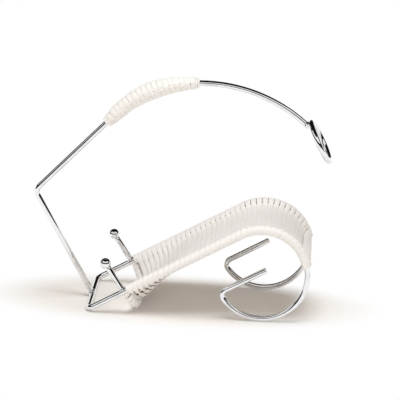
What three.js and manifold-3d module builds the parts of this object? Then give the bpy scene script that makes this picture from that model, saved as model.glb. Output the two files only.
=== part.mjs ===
// Wire stand for one tilted bottle: bent chrome wire with a woven cane seat and a cane-wound handle.
// Millimetres and degrees. +X runs from the rear crossbar to the wheel loops, +Y to the left side, +Z up.
import * as THREE from "three";
import { mergeVertices } from "three/addons/utils/BufferGeometryUtils.js";
import Module from "manifold-3d";

// Wire stock and the gap that neighbouring pieces keep
const WIRE_DIAMETER = 5.2;
const EDGE_WIRE_DIAMETER = 3;
const JOINT_GAP = 0.3;

// Side wires: a rail that is tangent to its wheel loop, and the loop's hooked inner end
const RAIL_SPACING = 92;
const LOOP_RADIUS = 41.5;
const LOOP_DISTANCE = 155;
const CORNER_BEND_RADIUS = 6;
const HOOK_BEND_RADIUS = 6;
const HOOK_RISE = 1.7;
const HOOK_END_PAST_CENTRE = 6;

// Handle wire: upright, elbow, straight arm, crown under the grip and long reach to the neck ring
const UPRIGHT_LENGTH = 110.75;
const ELBOW_BEND_RADIUS = 8;
const ARM_LENGTH = 107.8;
const ARM_RISE = 46.5;
const CROWN_RADIUS = 88.5;
const CROWN_SWEEP = 29.8;
const REACH_RADIUS = 139;
const REACH_SWEEP = 57.2;

// Neck ring at the end of the reach, its top standing off the reach's line
const RING_RADIUS = 19.2;
const RING_TILT = 28;
const RING_STAND_OFF = 4.2;

// Side posts with ball tips
const POST_STATION = 36.7;
const POST_LENGTH = 31;
const POST_LEAN = 4;
const BALL_DIAMETER = 9.8;

// Woven seat: wraps, edges and panel
const RAIL_WRAP_THICKNESS = 1.6;
const HOOP_WRAP_THICKNESS = 1.7;
const FRONT_WRAP_THICKNESS = 2.8;
const HOOP_AHEAD_OF_POST = 2.25;
const HOOP_DROP = 2;
const HOOP_CORNER_RADIUS = 16;
const FRONT_EDGE_ANGLE = 20;
const WRAP_OVERRUN = 0.8;
const SEAT_THICKNESS = 3;
const SEAT_SAG = 4;
const SEAT_DIP_LENGTH = 53.5;
const SEAT_DIP_FULLNESS = 5;
const SEAT_RIBS = 34;
const SEAT_RIB_HEIGHT = 0.7;

// Handle grip
const GRIP_START = 92.3;
const GRIP_CORE_THICKNESS = 1.4;
const GRIP_STRAND_DIAMETER = 3.4;
const GRIP_LOOPS = 16;
const GRIP_PITCH = 4.3;
const GRIP_TURN_IN_RADIUS = 3.5;
const COLLAR_LENGTH = 6;
const COLLAR_TIP_THICKNESS = 1.4;

// Facets
const WIRE_SIDES = 12;
const BORE_SIDES = 8;
const RING_STEPS = 32;
const LOOP_STEPS = 24;
const STRAND_SIDES = 6;
const COLLAR_SIDES = 16;
const BALL_STEPS = 16;
const SEAT_COLUMNS = 14;
const HANDLE_PIECE_LENGTH = 11;
const WIDE_STEP = THREE.MathUtils.degToRad(10);
const BEND_STEP = THREE.MathUtils.degToRad(15);

// Sizes that follow from the ones above
const RIGHT = -1;
const LEFT = 1;
const wireRadius = WIRE_DIAMETER / 2;
const edgeWireRadius = EDGE_WIRE_DIAMETER / 2;
const railWrapRadius = wireRadius + JOINT_GAP + RAIL_WRAP_THICKNESS;
const hoopWrapRadius = edgeWireRadius + JOINT_GAP + HOOP_WRAP_THICKNESS;
const frontWrapRadius = edgeWireRadius + JOINT_GAP + FRONT_WRAP_THICKNESS;
const hoopDepth = HOOP_DROP + HOOP_CORNER_RADIUS;
const wrapStart = POST_STATION + wireRadius + JOINT_GAP;
const hoopStation = POST_STATION + HOOP_AHEAD_OF_POST;
const seatStart = hoopStation + hoopWrapRadius + JOINT_GAP;
const frontAngle = THREE.MathUtils.degToRad(FRONT_EDGE_ANGLE);
const wrapEndAngle = frontAngle - (frontWrapRadius + WRAP_OVERRUN) / LOOP_RADIUS;
const seatEndAngle = frontAngle + (frontWrapRadius + JOINT_GAP) / LOOP_RADIUS;
const gripCoreRadius = wireRadius + JOINT_GAP + GRIP_CORE_THICKNESS;
const windingRadius = gripCoreRadius + JOINT_GAP + GRIP_STRAND_DIAMETER / 2;
const collarRadius = windingRadius;

// Directions: the rail climbs from the floor so that crossbar and loop both rest on it
const railTilt = 2 * Math.atan(LOOP_RADIUS / LOOP_DISTANCE);
const forward = new THREE.Vector3(1, 0, 0);
const across = new THREE.Vector3(0, 1, 0);
const up = new THREE.Vector3(0, 0, 1);
const railAlong = new THREE.Vector3(Math.cos(railTilt), 0, Math.sin(railTilt));
const railNormal = new THREE.Vector3(-Math.sin(railTilt), 0, Math.cos(railTilt));

const chrome = { color: 0xd4d7da, metalness: 1, roughness: 0.14 };
const whiteCane = { color: 0xf2eee2, metalness: 0, roughness: 0.7 };

const wasm = await Module();
wasm.setup();

// Points and paths

function offset(point, ...moves) {
  return moves.reduce((p, [direction, distance]) => p.addScaledVector(direction, distance), point.clone());
}

// A path that visits given stations one by one, each with its own point and direction.
class StationPath extends THREE.Curve {
  constructor(stations) {
    super();
    this.stations = stations;
  }

  station(share) {
    return this.stations[Math.round(share * (this.stations.length - 1))];
  }

  getPointAt(share, target = new THREE.Vector3()) {
    return target.copy(this.station(share).point);
  }

  getTangentAt(share, target = new THREE.Vector3()) {
    return target.copy(this.station(share).along);
  }
}

function straight(from, to) {
  const along = to.clone().sub(from).normalize();
  return [from, to].map((point) => ({ point, along }));
}

// An arc in the plane of two unit directions, from one angle to another in radians.
function arc(centre, radius, zeroAxis, rightAxis, from, to, step) {
  const pieces = Math.max(1, Math.ceil(Math.abs(to - from) / step));
  const sense = Math.sign(to - from);
  return Array.from({ length: pieces + 1 }, (_, i) => {
    const angle = from + ((to - from) * i) / pieces;
    const [c, s] = [Math.cos(angle), Math.sin(angle)];
    return {
      point: offset(centre, [zeroAxis, radius * c], [rightAxis, radius * s]),
      along: offset(new THREE.Vector3(), [zeroAxis, -s * sense], [rightAxis, c * sense]),
    };
  });
}

// An arc in the stand's upright lengthwise plane, from +X towards +Z.
function sideArc(centre, radius, from, to, step) {
  return arc(centre, radius, forward, up, from, to, step);
}

function chain(...runs) {
  const stations = [];
  for (const station of runs.flat()) {
    const last = stations.at(-1);
    if (!last || last.point.distanceTo(station.point) > 1e-6) stations.push(station);
  }
  return stations;
}

// Sections and sweeps

// Corners of a polygon with a flat square to each axis, its flats at the given radius.
function polygon(radius, sides) {
  const corner = radius / Math.cos(Math.PI / sides);
  return Array.from({ length: sides }, (_, i) => {
    const angle = ((2 * i + 1) * Math.PI) / sides;
    return new THREE.Vector2(corner * Math.cos(angle), corner * Math.sin(angle));
  });
}

function sweep(stations, shape) {
  const extrudePath = new StationPath(stations);
  return new THREE.ExtrudeGeometry(shape, { steps: stations.length - 1, extrudePath, bevelEnabled: false });
}

function tube(stations, radius, sides = WIRE_SIDES) {
  return sweep(stations, new THREE.Shape(polygon(radius, sides)));
}

function sleeve(stations, innerRadius, outerRadius) {
  const shape = new THREE.Shape(polygon(outerRadius, WIRE_SIDES));
  shape.holes.push(new THREE.Path(polygon(innerRadius, BORE_SIDES)));
  return sweep(stations, shape);
}

// Booleans

function solidOf(geometry) {
  const loose = geometry.index ? geometry.toNonIndexed() : geometry;
  const bare = new THREE.BufferGeometry().setAttribute("position", loose.getAttribute("position"));
  const merged = mergeVertices(bare, 1e-4);
  const vertProperties = merged.getAttribute("position").array;
  const triVerts = new Uint32Array(merged.index.array);
  return new wasm.Manifold(new wasm.Mesh({ numProp: 3, vertProperties, triVerts }));
}

function cutAway(geometry, ...cutters) {
  const left = cutters.reduce((body, cutter) => body.subtract(solidOf(cutter)), solidOf(geometry));
  const { vertProperties, triVerts } = left.getMesh();
  const result = new THREE.BufferGeometry();
  result.setAttribute("position", new THREE.BufferAttribute(vertProperties, 3));
  result.setIndex(new THREE.BufferAttribute(triVerts, 1));
  return result;
}

// Side wires

function cornerPoint(side) {
  return new THREE.Vector3(0, (side * RAIL_SPACING) / 2, wireRadius);
}

function loopCentre(side) {
  return new THREE.Vector3(LOOP_DISTANCE, (side * RAIL_SPACING) / 2, LOOP_RADIUS + wireRadius);
}

function railPoint(side, station) {
  return offset(cornerPoint(side), [railAlong, station]);
}

function railRun(side, from) {
  return straight(railPoint(side, from), railPoint(side, LOOP_DISTANCE));
}

function archRun(side, endAngle) {
  return sideArc(loopCentre(side), LOOP_RADIUS, railTilt + Math.PI / 2, endAngle, WIDE_STEP);
}

function rail(side) {
  const sideways = across.clone().multiplyScalar(side);
  const backwards = railAlong.clone().negate();
  const inset = [sideways, -CORNER_BEND_RADIUS];
  const bendCentre = offset(cornerPoint(side), inset, [railAlong, CORNER_BEND_RADIUS]);
  const bend = arc(bendCentre, CORNER_BEND_RADIUS, backwards, sideways, 0, Math.PI / 2, BEND_STEP);
  return tube(chain(bend, railRun(side, CORNER_BEND_RADIUS)), wireRadius);
}

function crossbar() {
  const inset = [across, CORNER_BEND_RADIUS];
  const outset = [across, -CORNER_BEND_RADIUS];
  return tube(straight(offset(cornerPoint(RIGHT), inset), offset(cornerPoint(LEFT), outset)), wireRadius);
}

// The wire goes over the arch, round under the loop, and hooks in along a line just above the loop's centre.
function wheelLoop(side) {
  const centre = loopCentre(side);
  const hookDrop = HOOK_BEND_RADIUS - HOOK_RISE;
  const hookReach = Math.sqrt((LOOP_RADIUS - HOOK_BEND_RADIUS) ** 2 - hookDrop ** 2);
  const hookTurn = Math.atan2(hookDrop, hookReach);
  const hookCentre = offset(centre, [railAlong, -hookReach], [railNormal, -hookDrop]);
  const floorAngle = -Math.PI / 2;
  const arch = archRun(side, floorAngle);
  const under = sideArc(centre, LOOP_RADIUS, floorAngle, railTilt - Math.PI + hookTurn, WIDE_STEP);
  const quarter = railTilt + Math.PI / 2;
  const hook = sideArc(hookCentre, HOOK_BEND_RADIUS, railTilt + Math.PI + hookTurn, quarter, BEND_STEP);
  const hookStart = offset(centre, [railNormal, HOOK_RISE], [railAlong, -hookReach]);
  const hookEnd = offset(centre, [railNormal, HOOK_RISE], [railAlong, HOOK_END_PAST_CENTRE]);
  const inner = straight(hookStart, hookEnd);
  return tube(chain(arch, under, hook, inner), wireRadius);
}

// Handle wire and neck ring

const barMiddle = new THREE.Vector3(0, 0, wireRadius);
const elbow = offset(barMiddle, [railNormal, UPRIGHT_LENGTH]);
const armRise = THREE.MathUtils.degToRad(ARM_RISE);
const armAngle = armRise + Math.PI / 2;
const armAlong = new THREE.Vector3(Math.cos(armRise), 0, Math.sin(armRise));
const crownSweep = THREE.MathUtils.degToRad(CROWN_SWEEP);
const crownLength = CROWN_RADIUS * crownSweep;
const reachLength = REACH_RADIUS * THREE.MathUtils.degToRad(REACH_SWEEP);
const handleLength = ARM_LENGTH + crownLength + reachLength;
const armEnd = offset(elbow, [armAlong, ARM_LENGTH]);
const crownCentre = offset(armEnd, [sideDirection(armAngle), -CROWN_RADIUS]);
const reachCentre = offset(crownCentre, [sideDirection(armAngle - crownSweep), CROWN_RADIUS - REACH_RADIUS]);

function sideDirection(angle) {
  return new THREE.Vector3(Math.cos(angle), 0, Math.sin(angle));
}

// The handle's line up the arm, over the crown and down the reach, by distance from the elbow.
function handleFrame(distance) {
  const onCrown = THREE.MathUtils.clamp(distance - ARM_LENGTH, 0, crownLength) / CROWN_RADIUS;
  const onReach = Math.max(0, distance - ARM_LENGTH - crownLength) / REACH_RADIUS;
  const outward = sideDirection(armAngle - onCrown - onReach);
  const along = new THREE.Vector3(outward.z, 0, -outward.x);
  const [centre, radius] = onReach ? [reachCentre, REACH_RADIUS] : [crownCentre, CROWN_RADIUS];
  const beforeCrown = Math.min(0, distance - ARM_LENGTH);
  return { outward, along, point: offset(centre, [outward, radius], [along, beforeCrown]) };
}

function handleRun(from, to) {
  const pieces = Math.ceil((to - from) / HANDLE_PIECE_LENGTH);
  return Array.from({ length: pieces + 1 }, (_, i) => handleFrame(from + ((to - from) * i) / pieces));
}

function handleWire() {
  const turn = railTilt + Math.PI / 2 - armRise;
  const trim = ELBOW_BEND_RADIUS * Math.tan(turn / 2);
  const bendCentre = offset(elbow, [railNormal, -trim], [railAlong, ELBOW_BEND_RADIUS]);
  const riser = straight(barMiddle, offset(elbow, [railNormal, -trim]));
  const bend = sideArc(bendCentre, ELBOW_BEND_RADIUS, railTilt + Math.PI, armAngle, BEND_STEP);
  const arm = straight(offset(elbow, [armAlong, trim]), armEnd);
  const top = handleRun(ARM_LENGTH, handleLength);
  return cutAway(tube(chain(riser, bend, arm, top), wireRadius), clearanceBar());
}

function clearanceBar() {
  return tube(straight(cornerPoint(RIGHT), cornerPoint(LEFT)), wireRadius + JOINT_GAP);
}

// The reach's end touches the rear of the ring's wire, just inside its top.
function placeNeckRing(mesh) {
  const ringTilt = THREE.MathUtils.degToRad(RING_TILT);
  const ringUp = new THREE.Vector3(-Math.sin(ringTilt), 0, Math.cos(ringTilt));
  const { point, outward, along } = handleFrame(handleLength);
  const ahead = Math.sqrt((wireRadius + JOINT_GAP) ** 2 - (RING_STAND_OFF - wireRadius) ** 2);
  const top = offset(point, [outward, RING_STAND_OFF], [along, ahead]);
  mesh.position.copy(offset(top, [ringUp, -RING_RADIUS]));
  mesh.rotation.y = Math.PI / 2 - ringTilt;
}

// Posts

function ballCentre(side) {
  const lean = THREE.MathUtils.degToRad(POST_LEAN);
  const rise = [railNormal, POST_LENGTH * Math.cos(lean)];
  return offset(railPoint(side, POST_STATION), rise, [railAlong, -POST_LENGTH * Math.sin(lean)]);
}

function clearanceRail(side) {
  return tube(straight(cornerPoint(side), railPoint(side, LOOP_DISTANCE)), wireRadius + JOINT_GAP);
}

function post(side) {
  const clearanceBall = new THREE.SphereGeometry(BALL_DIAMETER / 2 + JOINT_GAP, BALL_STEPS, BALL_STEPS / 2);
  clearanceBall.translate(...ballCentre(side).toArray());
  const wire = tube(straight(railPoint(side, POST_STATION), ballCentre(side)), wireRadius);
  return cutAway(wire, clearanceRail(side), clearanceBall);
}

// Seat edges: the rear hoop drops below the rails, the front wire runs straight between the loops

function hoopRun() {
  const down = railNormal.clone().negate();
  const start = railPoint(RIGHT, hoopStation);
  const end = railPoint(LEFT, hoopStation);
  const inward = across.clone().negate();
  const rightCentre = offset(start, [across, HOOP_CORNER_RADIUS], [down, HOOP_DROP]);
  const leftCentre = offset(end, [across, -HOOP_CORNER_RADIUS], [down, HOOP_DROP]);
  const rightCorner = arc(rightCentre, HOOP_CORNER_RADIUS, inward, down, 0, Math.PI / 2, BEND_STEP);
  const leftCorner = arc(leftCentre, HOOP_CORNER_RADIUS, down, across, 0, Math.PI / 2, BEND_STEP);
  const rightLeg = straight(start, offset(start, [down, HOOP_DROP]));
  const leftLeg = straight(offset(end, [down, HOOP_DROP]), end);
  return chain(rightLeg, rightCorner, leftCorner, leftLeg);
}

function frontRun() {
  const reach = [
    [forward, LOOP_RADIUS * Math.cos(frontAngle)],
    [up, LOOP_RADIUS * Math.sin(frontAngle)],
  ];
  return straight(offset(loopCentre(RIGHT), ...reach), offset(loopCentre(LEFT), ...reach));
}

function wrapRun(side) {
  return chain(railRun(side, wrapStart), archRun(side, wrapEndAngle));
}

function clearanceLoop(side) {
  return tube(archRun(side, wrapEndAngle), wireRadius + JOINT_GAP);
}

function clearanceWrap(side) {
  const run = chain(railRun(side, wrapStart - JOINT_GAP), archRun(side, wrapEndAngle));
  return tube(run, railWrapRadius + JOINT_GAP);
}

function rearHoop() {
  return cutAway(tube(hoopRun(), edgeWireRadius), clearanceRail(RIGHT), clearanceRail(LEFT));
}

function frontCrosswire() {
  return cutAway(tube(frontRun(), edgeWireRadius), clearanceLoop(RIGHT), clearanceLoop(LEFT));
}

function railWrap(side) {
  const wrap = sleeve(wrapRun(side), wireRadius + JOINT_GAP, railWrapRadius);
  const hoopHole = tube(hoopRun(), edgeWireRadius + JOINT_GAP);
  const frontHole = tube(frontRun(), edgeWireRadius + JOINT_GAP);
  return cutAway(wrap, hoopHole, frontHole);
}

function edgeWrap(stations, radius) {
  const wrap = sleeve(stations, edgeWireRadius + JOINT_GAP, radius);
  const clearances = [RIGHT, LEFT].flatMap((side) => [clearanceWrap(side), clearanceRail(side)]);
  return cutAway(wrap, ...clearances);
}

// Seat panel: it hangs from under the rails at the hoop and draws up level with them further forward

// A closed slab between an upper and a lower grid of points.
function slab(upper, lower) {
  const rows = upper.length;
  const columns = upper[0].length;
  const points = [...upper.flat(), ...lower.flat()];
  const top = (i, j) => i * columns + j;
  const bottom = (i, j) => rows * columns + i * columns + j;
  const faces = [];
  const quad = (a, b, c, d) => faces.push(a, b, c, a, c, d);
  for (let i = 0; i < rows - 1; i += 1) {
    for (let j = 0; j < columns - 1; j += 1) {
      quad(top(i, j), top(i + 1, j), top(i + 1, j + 1), top(i, j + 1));
      quad(bottom(i, j), bottom(i, j + 1), bottom(i + 1, j + 1), bottom(i + 1, j));
    }
    quad(bottom(i, 0), bottom(i + 1, 0), top(i + 1, 0), top(i, 0));
    quad(top(i, columns - 1), top(i + 1, columns - 1), bottom(i + 1, columns - 1), bottom(i, columns - 1));
  }
  for (let j = 0; j < columns - 1; j += 1) {
    quad(top(0, j), top(0, j + 1), bottom(0, j + 1), bottom(0, j));
    quad(top(rows - 1, j + 1), top(rows - 1, j), bottom(rows - 1, j), bottom(rows - 1, j + 1));
  }
  return new THREE.BufferGeometry().setFromPoints(points).setIndex(faces);
}

// The panel's middle line across the stand, as distances to the left and down from the rails' plane.
function seatSection(dip) {
  const hang = (dip * Math.PI) / 2;
  const edgeDown = wireRadius * Math.sin(hang);
  const edgeOut = RAIL_SPACING / 2 - wireRadius * Math.cos(hang);
  const depth = SEAT_SAG + (hoopDepth - SEAT_SAG) * dip;
  const fullness = 2 + (SEAT_DIP_FULLNESS - 2) * dip;
  return Array.from({ length: SEAT_COLUMNS + 1 }, (_, j) => {
    const share = Math.sin(((2 * j) / SEAT_COLUMNS - 1) * (Math.PI / 2));
    const drop = (depth - edgeDown) * (1 - Math.abs(share) ** fullness);
    return new THREE.Vector2(edgeOut * share, edgeDown + drop);
  });
}

function sectionNormals(section) {
  return section.map((_, j) => {
    const before = section[Math.max(0, j - 1)];
    const after = section[Math.min(section.length - 1, j + 1)];
    return new THREE.Vector2(after.y - before.y, before.x - after.x).normalize();
  });
}

// The side wires' line in the middle plane, by distance from the rear corner.
function sideFrame(distance) {
  const onArch = Math.max(0, distance - LOOP_DISTANCE) / LOOP_RADIUS;
  const outward = sideDirection(railTilt + Math.PI / 2 - onArch);
  const along = new THREE.Vector3(outward.z, 0, -outward.x);
  const beforeArch = Math.min(0, distance - LOOP_DISTANCE);
  const middle = new THREE.Vector3(LOOP_DISTANCE, 0, LOOP_RADIUS + wireRadius);
  return { outward, point: offset(middle, [outward, LOOP_RADIUS], [along, beforeArch]) };
}

// A rib for each strand across: a crest on one face lies over a hollow on the other.
function seatWeave() {
  const archLength = LOOP_RADIUS * (railTilt + Math.PI / 2 - seatEndAngle);
  const seatLength = LOOP_DISTANCE + archLength - seatStart;
  const rows = 2 * SEAT_RIBS + 1;
  const grids = { upper: [], lower: [] };
  for (let i = 0; i <= rows; i += 1) {
    const travelled = (seatLength * i) / rows;
    const { outward, point } = sideFrame(seatStart + travelled);
    const section = seatSection(Math.max(0, 1 - travelled / SEAT_DIP_LENGTH));
    const normals = sectionNormals(section);
    const ripple = ((i % 2) - 0.5) * SEAT_RIB_HEIGHT;
    const row = (lift) =>
      section.map(({ x, y }, j) =>
        offset(point, [across, x + lift * normals[j].x], [outward, -y - lift * normals[j].y]),
      );
    grids.upper.push(row(ripple + SEAT_THICKNESS / 2));
    grids.lower.push(row(ripple - SEAT_THICKNESS / 2));
  }
  return cutAway(slab(grids.upper, grids.lower), clearanceWrap(RIGHT), clearanceWrap(LEFT));
}

// Grip: a core on the bow, wound with one strand whose ends turn in along the handle to the collars

// The winding laid out flat, as distances along the handle and round it.
function flatWinding() {
  const circumference = 2 * Math.PI * windingRadius;
  const slope = Math.atan2(GRIP_PITCH, circumference);
  const turnPieces = 6;
  const turnIn = Array.from({ length: turnPieces + 1 }, (_, i) => {
    const angle = ((Math.PI / 2 - slope) * i) / turnPieces;
    const along = GRIP_STRAND_DIAMETER + GRIP_TURN_IN_RADIUS * Math.sin(angle);
    return new THREE.Vector2(along, GRIP_TURN_IN_RADIUS * (1 - Math.cos(angle)));
  });
  const first = turnIn.at(-1);
  const loops = Array.from({ length: GRIP_LOOPS * LOOP_STEPS - 1 }, (_, i) => {
    const turns = (i + 1) / LOOP_STEPS;
    return new THREE.Vector2(first.x + turns * GRIP_PITCH, first.y + turns * circumference);
  });
  const total = new THREE.Vector2(GRIP_LOOPS * GRIP_PITCH, GRIP_LOOPS * circumference);
  total.addScaledVector(first, 2);
  const half = [new THREE.Vector2(0, 0), ...turnIn];
  const mirrored = half.map((point) => total.clone().sub(point)).reverse();
  return [...half, ...loops, ...mirrored];
}

const windingPoints = flatWinding();
const windingLength = windingPoints.at(-1).x;
const rearCollarStart = GRIP_START;
const coreStart = rearCollarStart + COLLAR_LENGTH + JOINT_GAP;
const coreEnd = coreStart + windingLength;
const frontCollarEnd = coreEnd + JOINT_GAP + COLLAR_LENGTH;

function windingStations() {
  const points = windingPoints.map(({ x, y }) => {
    const { outward, point } = handleFrame(coreStart + x);
    const angle = y / windingRadius;
    const lift = [outward, windingRadius * Math.cos(angle)];
    return offset(point, lift, [across, windingRadius * Math.sin(angle)]);
  });
  return points.map((point, i) => {
    const before = points[Math.max(0, i - 1)];
    const after = points[Math.min(points.length - 1, i + 1)];
    return { point, along: after.clone().sub(before).normalize() };
  });
}

// The least clear distance between two stretches of the winding at least half a loop apart.
function leastSelfGap(stations) {
  let least = Infinity;
  stations.forEach(({ point }, i) => {
    for (let j = i + LOOP_STEPS / 2; j < stations.length; j += 1) {
      least = Math.min(least, point.distanceTo(stations[j].point));
    }
  });
  return least - GRIP_STRAND_DIAMETER;
}

function gripWinding() {
  const stations = windingStations();
  console.log(`grip winding: least gap to itself ${leastSelfGap(stations).toFixed(2)} mm`);
  return tube(stations, (GRIP_STRAND_DIAMETER / 2) * Math.cos(Math.PI / STRAND_SIDES), STRAND_SIDES);
}

function gripCore() {
  return sleeve(handleRun(coreStart, coreEnd), wireRadius + JOINT_GAP, gripCoreRadius);
}

// A tapering ring, with its wide face at the bottom and the handle's direction as its axis.
function collar() {
  const bore = (wireRadius + JOINT_GAP) / Math.cos(Math.PI / COLLAR_SIDES);
  const tip = bore + COLLAR_TIP_THICKNESS;
  const profile = [
    [bore, 0],
    [collarRadius, 0],
    [tip, COLLAR_LENGTH],
    [bore, COLLAR_LENGTH],
    [bore, 0],
  ];
  return new THREE.LatheGeometry(profile.map(([r, y]) => new THREE.Vector2(r, y)), COLLAR_SIDES);
}

function placeCollar(mesh, wideEnd, tipEnd) {
  const axis = handleFrame(tipEnd).point.sub(handleFrame(wideEnd).point).normalize();
  mesh.position.copy(handleFrame(wideEnd).point);
  mesh.quaternion.setFromUnitVectors(across, axis);
}

// Assembly

const stand = new THREE.Group();

function add(name, geometry, finish) {
  const mesh = new THREE.Mesh(geometry, new THREE.MeshStandardMaterial(finish));
  mesh.name = name;
  stand.add(mesh);
  return mesh;
}

add("rear_crossbar", crossbar(), chrome);
add("handle_wire", handleWire(), chrome);
const ringShape = new THREE.TorusGeometry(RING_RADIUS, wireRadius, WIRE_SIDES, RING_STEPS);
placeNeckRing(add("neck_ring", ringShape, chrome));
for (const [name, side] of [["right", RIGHT], ["left", LEFT]]) {
  add(`${name}_rail`, rail(side), chrome);
  add(`${name}_wheel_loop`, wheelLoop(side), chrome);
  add(`${name}_post`, post(side), chrome);
  const ballShape = new THREE.SphereGeometry(BALL_DIAMETER / 2, BALL_STEPS, BALL_STEPS / 2);
  add(`${name}_ball`, ballShape, chrome).position.copy(ballCentre(side));
  add(`${name}_rail_wrap`, railWrap(side), whiteCane);
}
add("rear_hoop", rearHoop(), chrome);
add("rear_hoop_wrap", edgeWrap(hoopRun(), hoopWrapRadius), whiteCane);
add("front_crosswire", frontCrosswire(), chrome);
add("front_edge_wrap", edgeWrap(frontRun(), frontWrapRadius), whiteCane);
add("seat_weave", seatWeave(), whiteCane);
add("grip_core", gripCore(), whiteCane);
add("grip_winding", gripWinding(), whiteCane);
placeCollar(add("grip_rear_collar", collar(), whiteCane), rearCollarStart + COLLAR_LENGTH, rearCollarStart);
placeCollar(add("grip_front_collar", collar(), whiteCane), coreEnd + JOINT_GAP, frontCollarEnd);

// The origin is on the floor, in the middle of the stand's length and width.
const reach = new THREE.Box3().setFromObject(stand);
stand.position.x = -(reach.min.x + reach.max.x) / 2;

const root = new THREE.Group();
root.add(stand);
export default root;
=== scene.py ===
"""Dress a wire bottle stand: polished wire, a woven white cane seat and a cane-wound carrying handle.

Lengths are metres in the part's own frame: +X towards the wheel loops, +Y to the stand's left, +Z up.
"""

from __future__ import annotations

import logging
import math
from collections.abc import Callable, Sequence
from dataclasses import dataclass, field
from enum import Enum

import bpy
import numpy as np
from mathutils import Matrix, Vector

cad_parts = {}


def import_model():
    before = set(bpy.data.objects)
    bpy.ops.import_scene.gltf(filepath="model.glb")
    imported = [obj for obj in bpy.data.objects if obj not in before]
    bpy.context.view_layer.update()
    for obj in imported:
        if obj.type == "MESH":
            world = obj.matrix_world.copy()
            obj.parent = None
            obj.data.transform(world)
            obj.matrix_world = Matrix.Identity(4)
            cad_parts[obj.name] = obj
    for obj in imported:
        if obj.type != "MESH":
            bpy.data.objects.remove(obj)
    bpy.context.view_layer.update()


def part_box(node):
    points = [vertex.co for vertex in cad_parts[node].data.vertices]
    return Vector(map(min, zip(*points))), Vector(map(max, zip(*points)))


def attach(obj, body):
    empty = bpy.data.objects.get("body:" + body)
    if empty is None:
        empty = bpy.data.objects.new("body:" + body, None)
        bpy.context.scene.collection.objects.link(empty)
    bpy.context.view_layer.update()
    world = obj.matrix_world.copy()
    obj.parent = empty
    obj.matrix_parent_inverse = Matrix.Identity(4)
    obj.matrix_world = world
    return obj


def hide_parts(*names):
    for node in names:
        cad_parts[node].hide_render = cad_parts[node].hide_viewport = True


LOG = logging.getLogger("bottle_stand")
BODY = "root"
MM = 0.001
QUARTER = math.pi / 2.0
FULL_TURN = 2.0 * math.pi
FORWARD = np.array([1.0, 0.0, 0.0])
ACROSS = np.array([0.0, 1.0, 0.0])
UP = np.array([0.0, 0.0, 1.0])
LINE_STEP = 2.0 * MM
SAME_POINT = 1e-7

Array = np.ndarray
Colour = tuple[float, float, float, float]
Material = bpy.types.Material
Principled = bpy.types.ShaderNodeBsdfPrincipled
Socket = bpy.types.NodeSocket
Number = Socket | float
Tree = bpy.types.NodeTree
RadiusAlong = Callable[[Array, Array], Array]

# Places of the colour sockets on a mix node
FIRST_COLOUR = 6
SECOND_COLOUR = 7
MIXED_COLOUR = 2


class Side(Enum):
    """The two sides of the stand, by the sign of their Y."""

    RIGHT = -1
    LEFT = 1


class Layer(Enum):
    """The two layers of seat strands, by the sense of their lift from the seat's middle."""

    TOP = 1
    UNDER = -1


class WireEnd(Enum):
    """How a swept wire or strand ends."""

    FLAT = "flat"
    CHAMFERED = "chamfered"


# Paths


def unit(vectors: Array) -> Array:
    """Return vectors scaled to length one, along the last axis."""
    return vectors / np.linalg.norm(vectors, axis=-1, keepdims=True)


def square_to(tangents: Array, vectors: Array) -> Array:
    """Return unit vectors turned square to tangents, row by row."""
    return unit(vectors - tangents * np.sum(vectors * tangents, axis=1, keepdims=True))


def upright(angles: Array | float) -> Array:
    """Return unit directions in the stand's upright plane, at angles from +X towards +Z."""
    turned = np.asarray(angles)[..., None]
    return np.cos(turned) * FORWARD + np.sin(turned) * UP


def arc(
    centre: Array, radius: float, zero: Array, right: Array, start: float, stop: float, step: float
) -> Array:
    """Sample an arc in the plane of two unit directions.

    Args:
        centre: Centre of the arc.
        radius: Radius of the arc.
        zero: Direction of angle zero.
        right: Direction of a quarter turn.
        start: First angle in radians.
        stop: Last angle in radians.
        step: Largest angle between two points.

    Returns:
        The points of the arc, one per row.
    """
    pieces = max(1, math.ceil(abs(stop - start) / step))
    angles = np.linspace(start, stop, pieces + 1)[:, None]
    return centre + radius * (np.cos(angles) * zero + np.sin(angles) * right)


def chain(*runs: Array) -> Array:
    """Join runs of points end to end.

    Args:
        runs: The runs, in order.

    Returns:
        The points, without those that repeat the one before.
    """
    points = np.vstack(runs)
    apart = np.linalg.norm(np.diff(points, axis=0), axis=1) > SAME_POINT
    return points[np.concatenate([[True], apart])]


def travelled(points: Array) -> Array:
    """Return the distance of each point from the first, along the line through them."""
    return np.concatenate([[0.0], np.cumsum(np.linalg.norm(np.diff(points, axis=0), axis=1))])


def looked_up(places: Array, distances: Array, rows: Array) -> Array:
    """Return rows read off at places along a line, between the rows known at distances."""
    return np.stack([np.interp(places, distances, column) for column in rows.T], axis=1)


def smooth(share: Array | float) -> Array:
    """Return an eased share between nought and one."""
    held = np.clip(share, 0.0, 1.0)
    return held * held * (3.0 - 2.0 * held)


def hump(off: Array, reach: float) -> Array:
    """Return a share that falls in a round hump from one to nought at a reach."""
    return 0.5 * (1.0 + np.cos(math.pi * np.clip(off / reach, 0.0, 1.0)))


def eased_through(places: Array, knots: Array, values: Array) -> Array:
    """Look up values that ease from each knot to the next.

    Args:
        places: Where the values are wanted.
        knots: Places of the known values, rising.
        values: The known values.

    Returns:
        A value for each place.
    """
    before = np.clip(np.searchsorted(knots, places, side="right") - 1, 0, len(knots) - 2)
    eased = smooth((places - knots[before]) / (knots[before + 1] - knots[before]))
    return values[before] * (1.0 - eased) + values[before + 1] * eased


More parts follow.
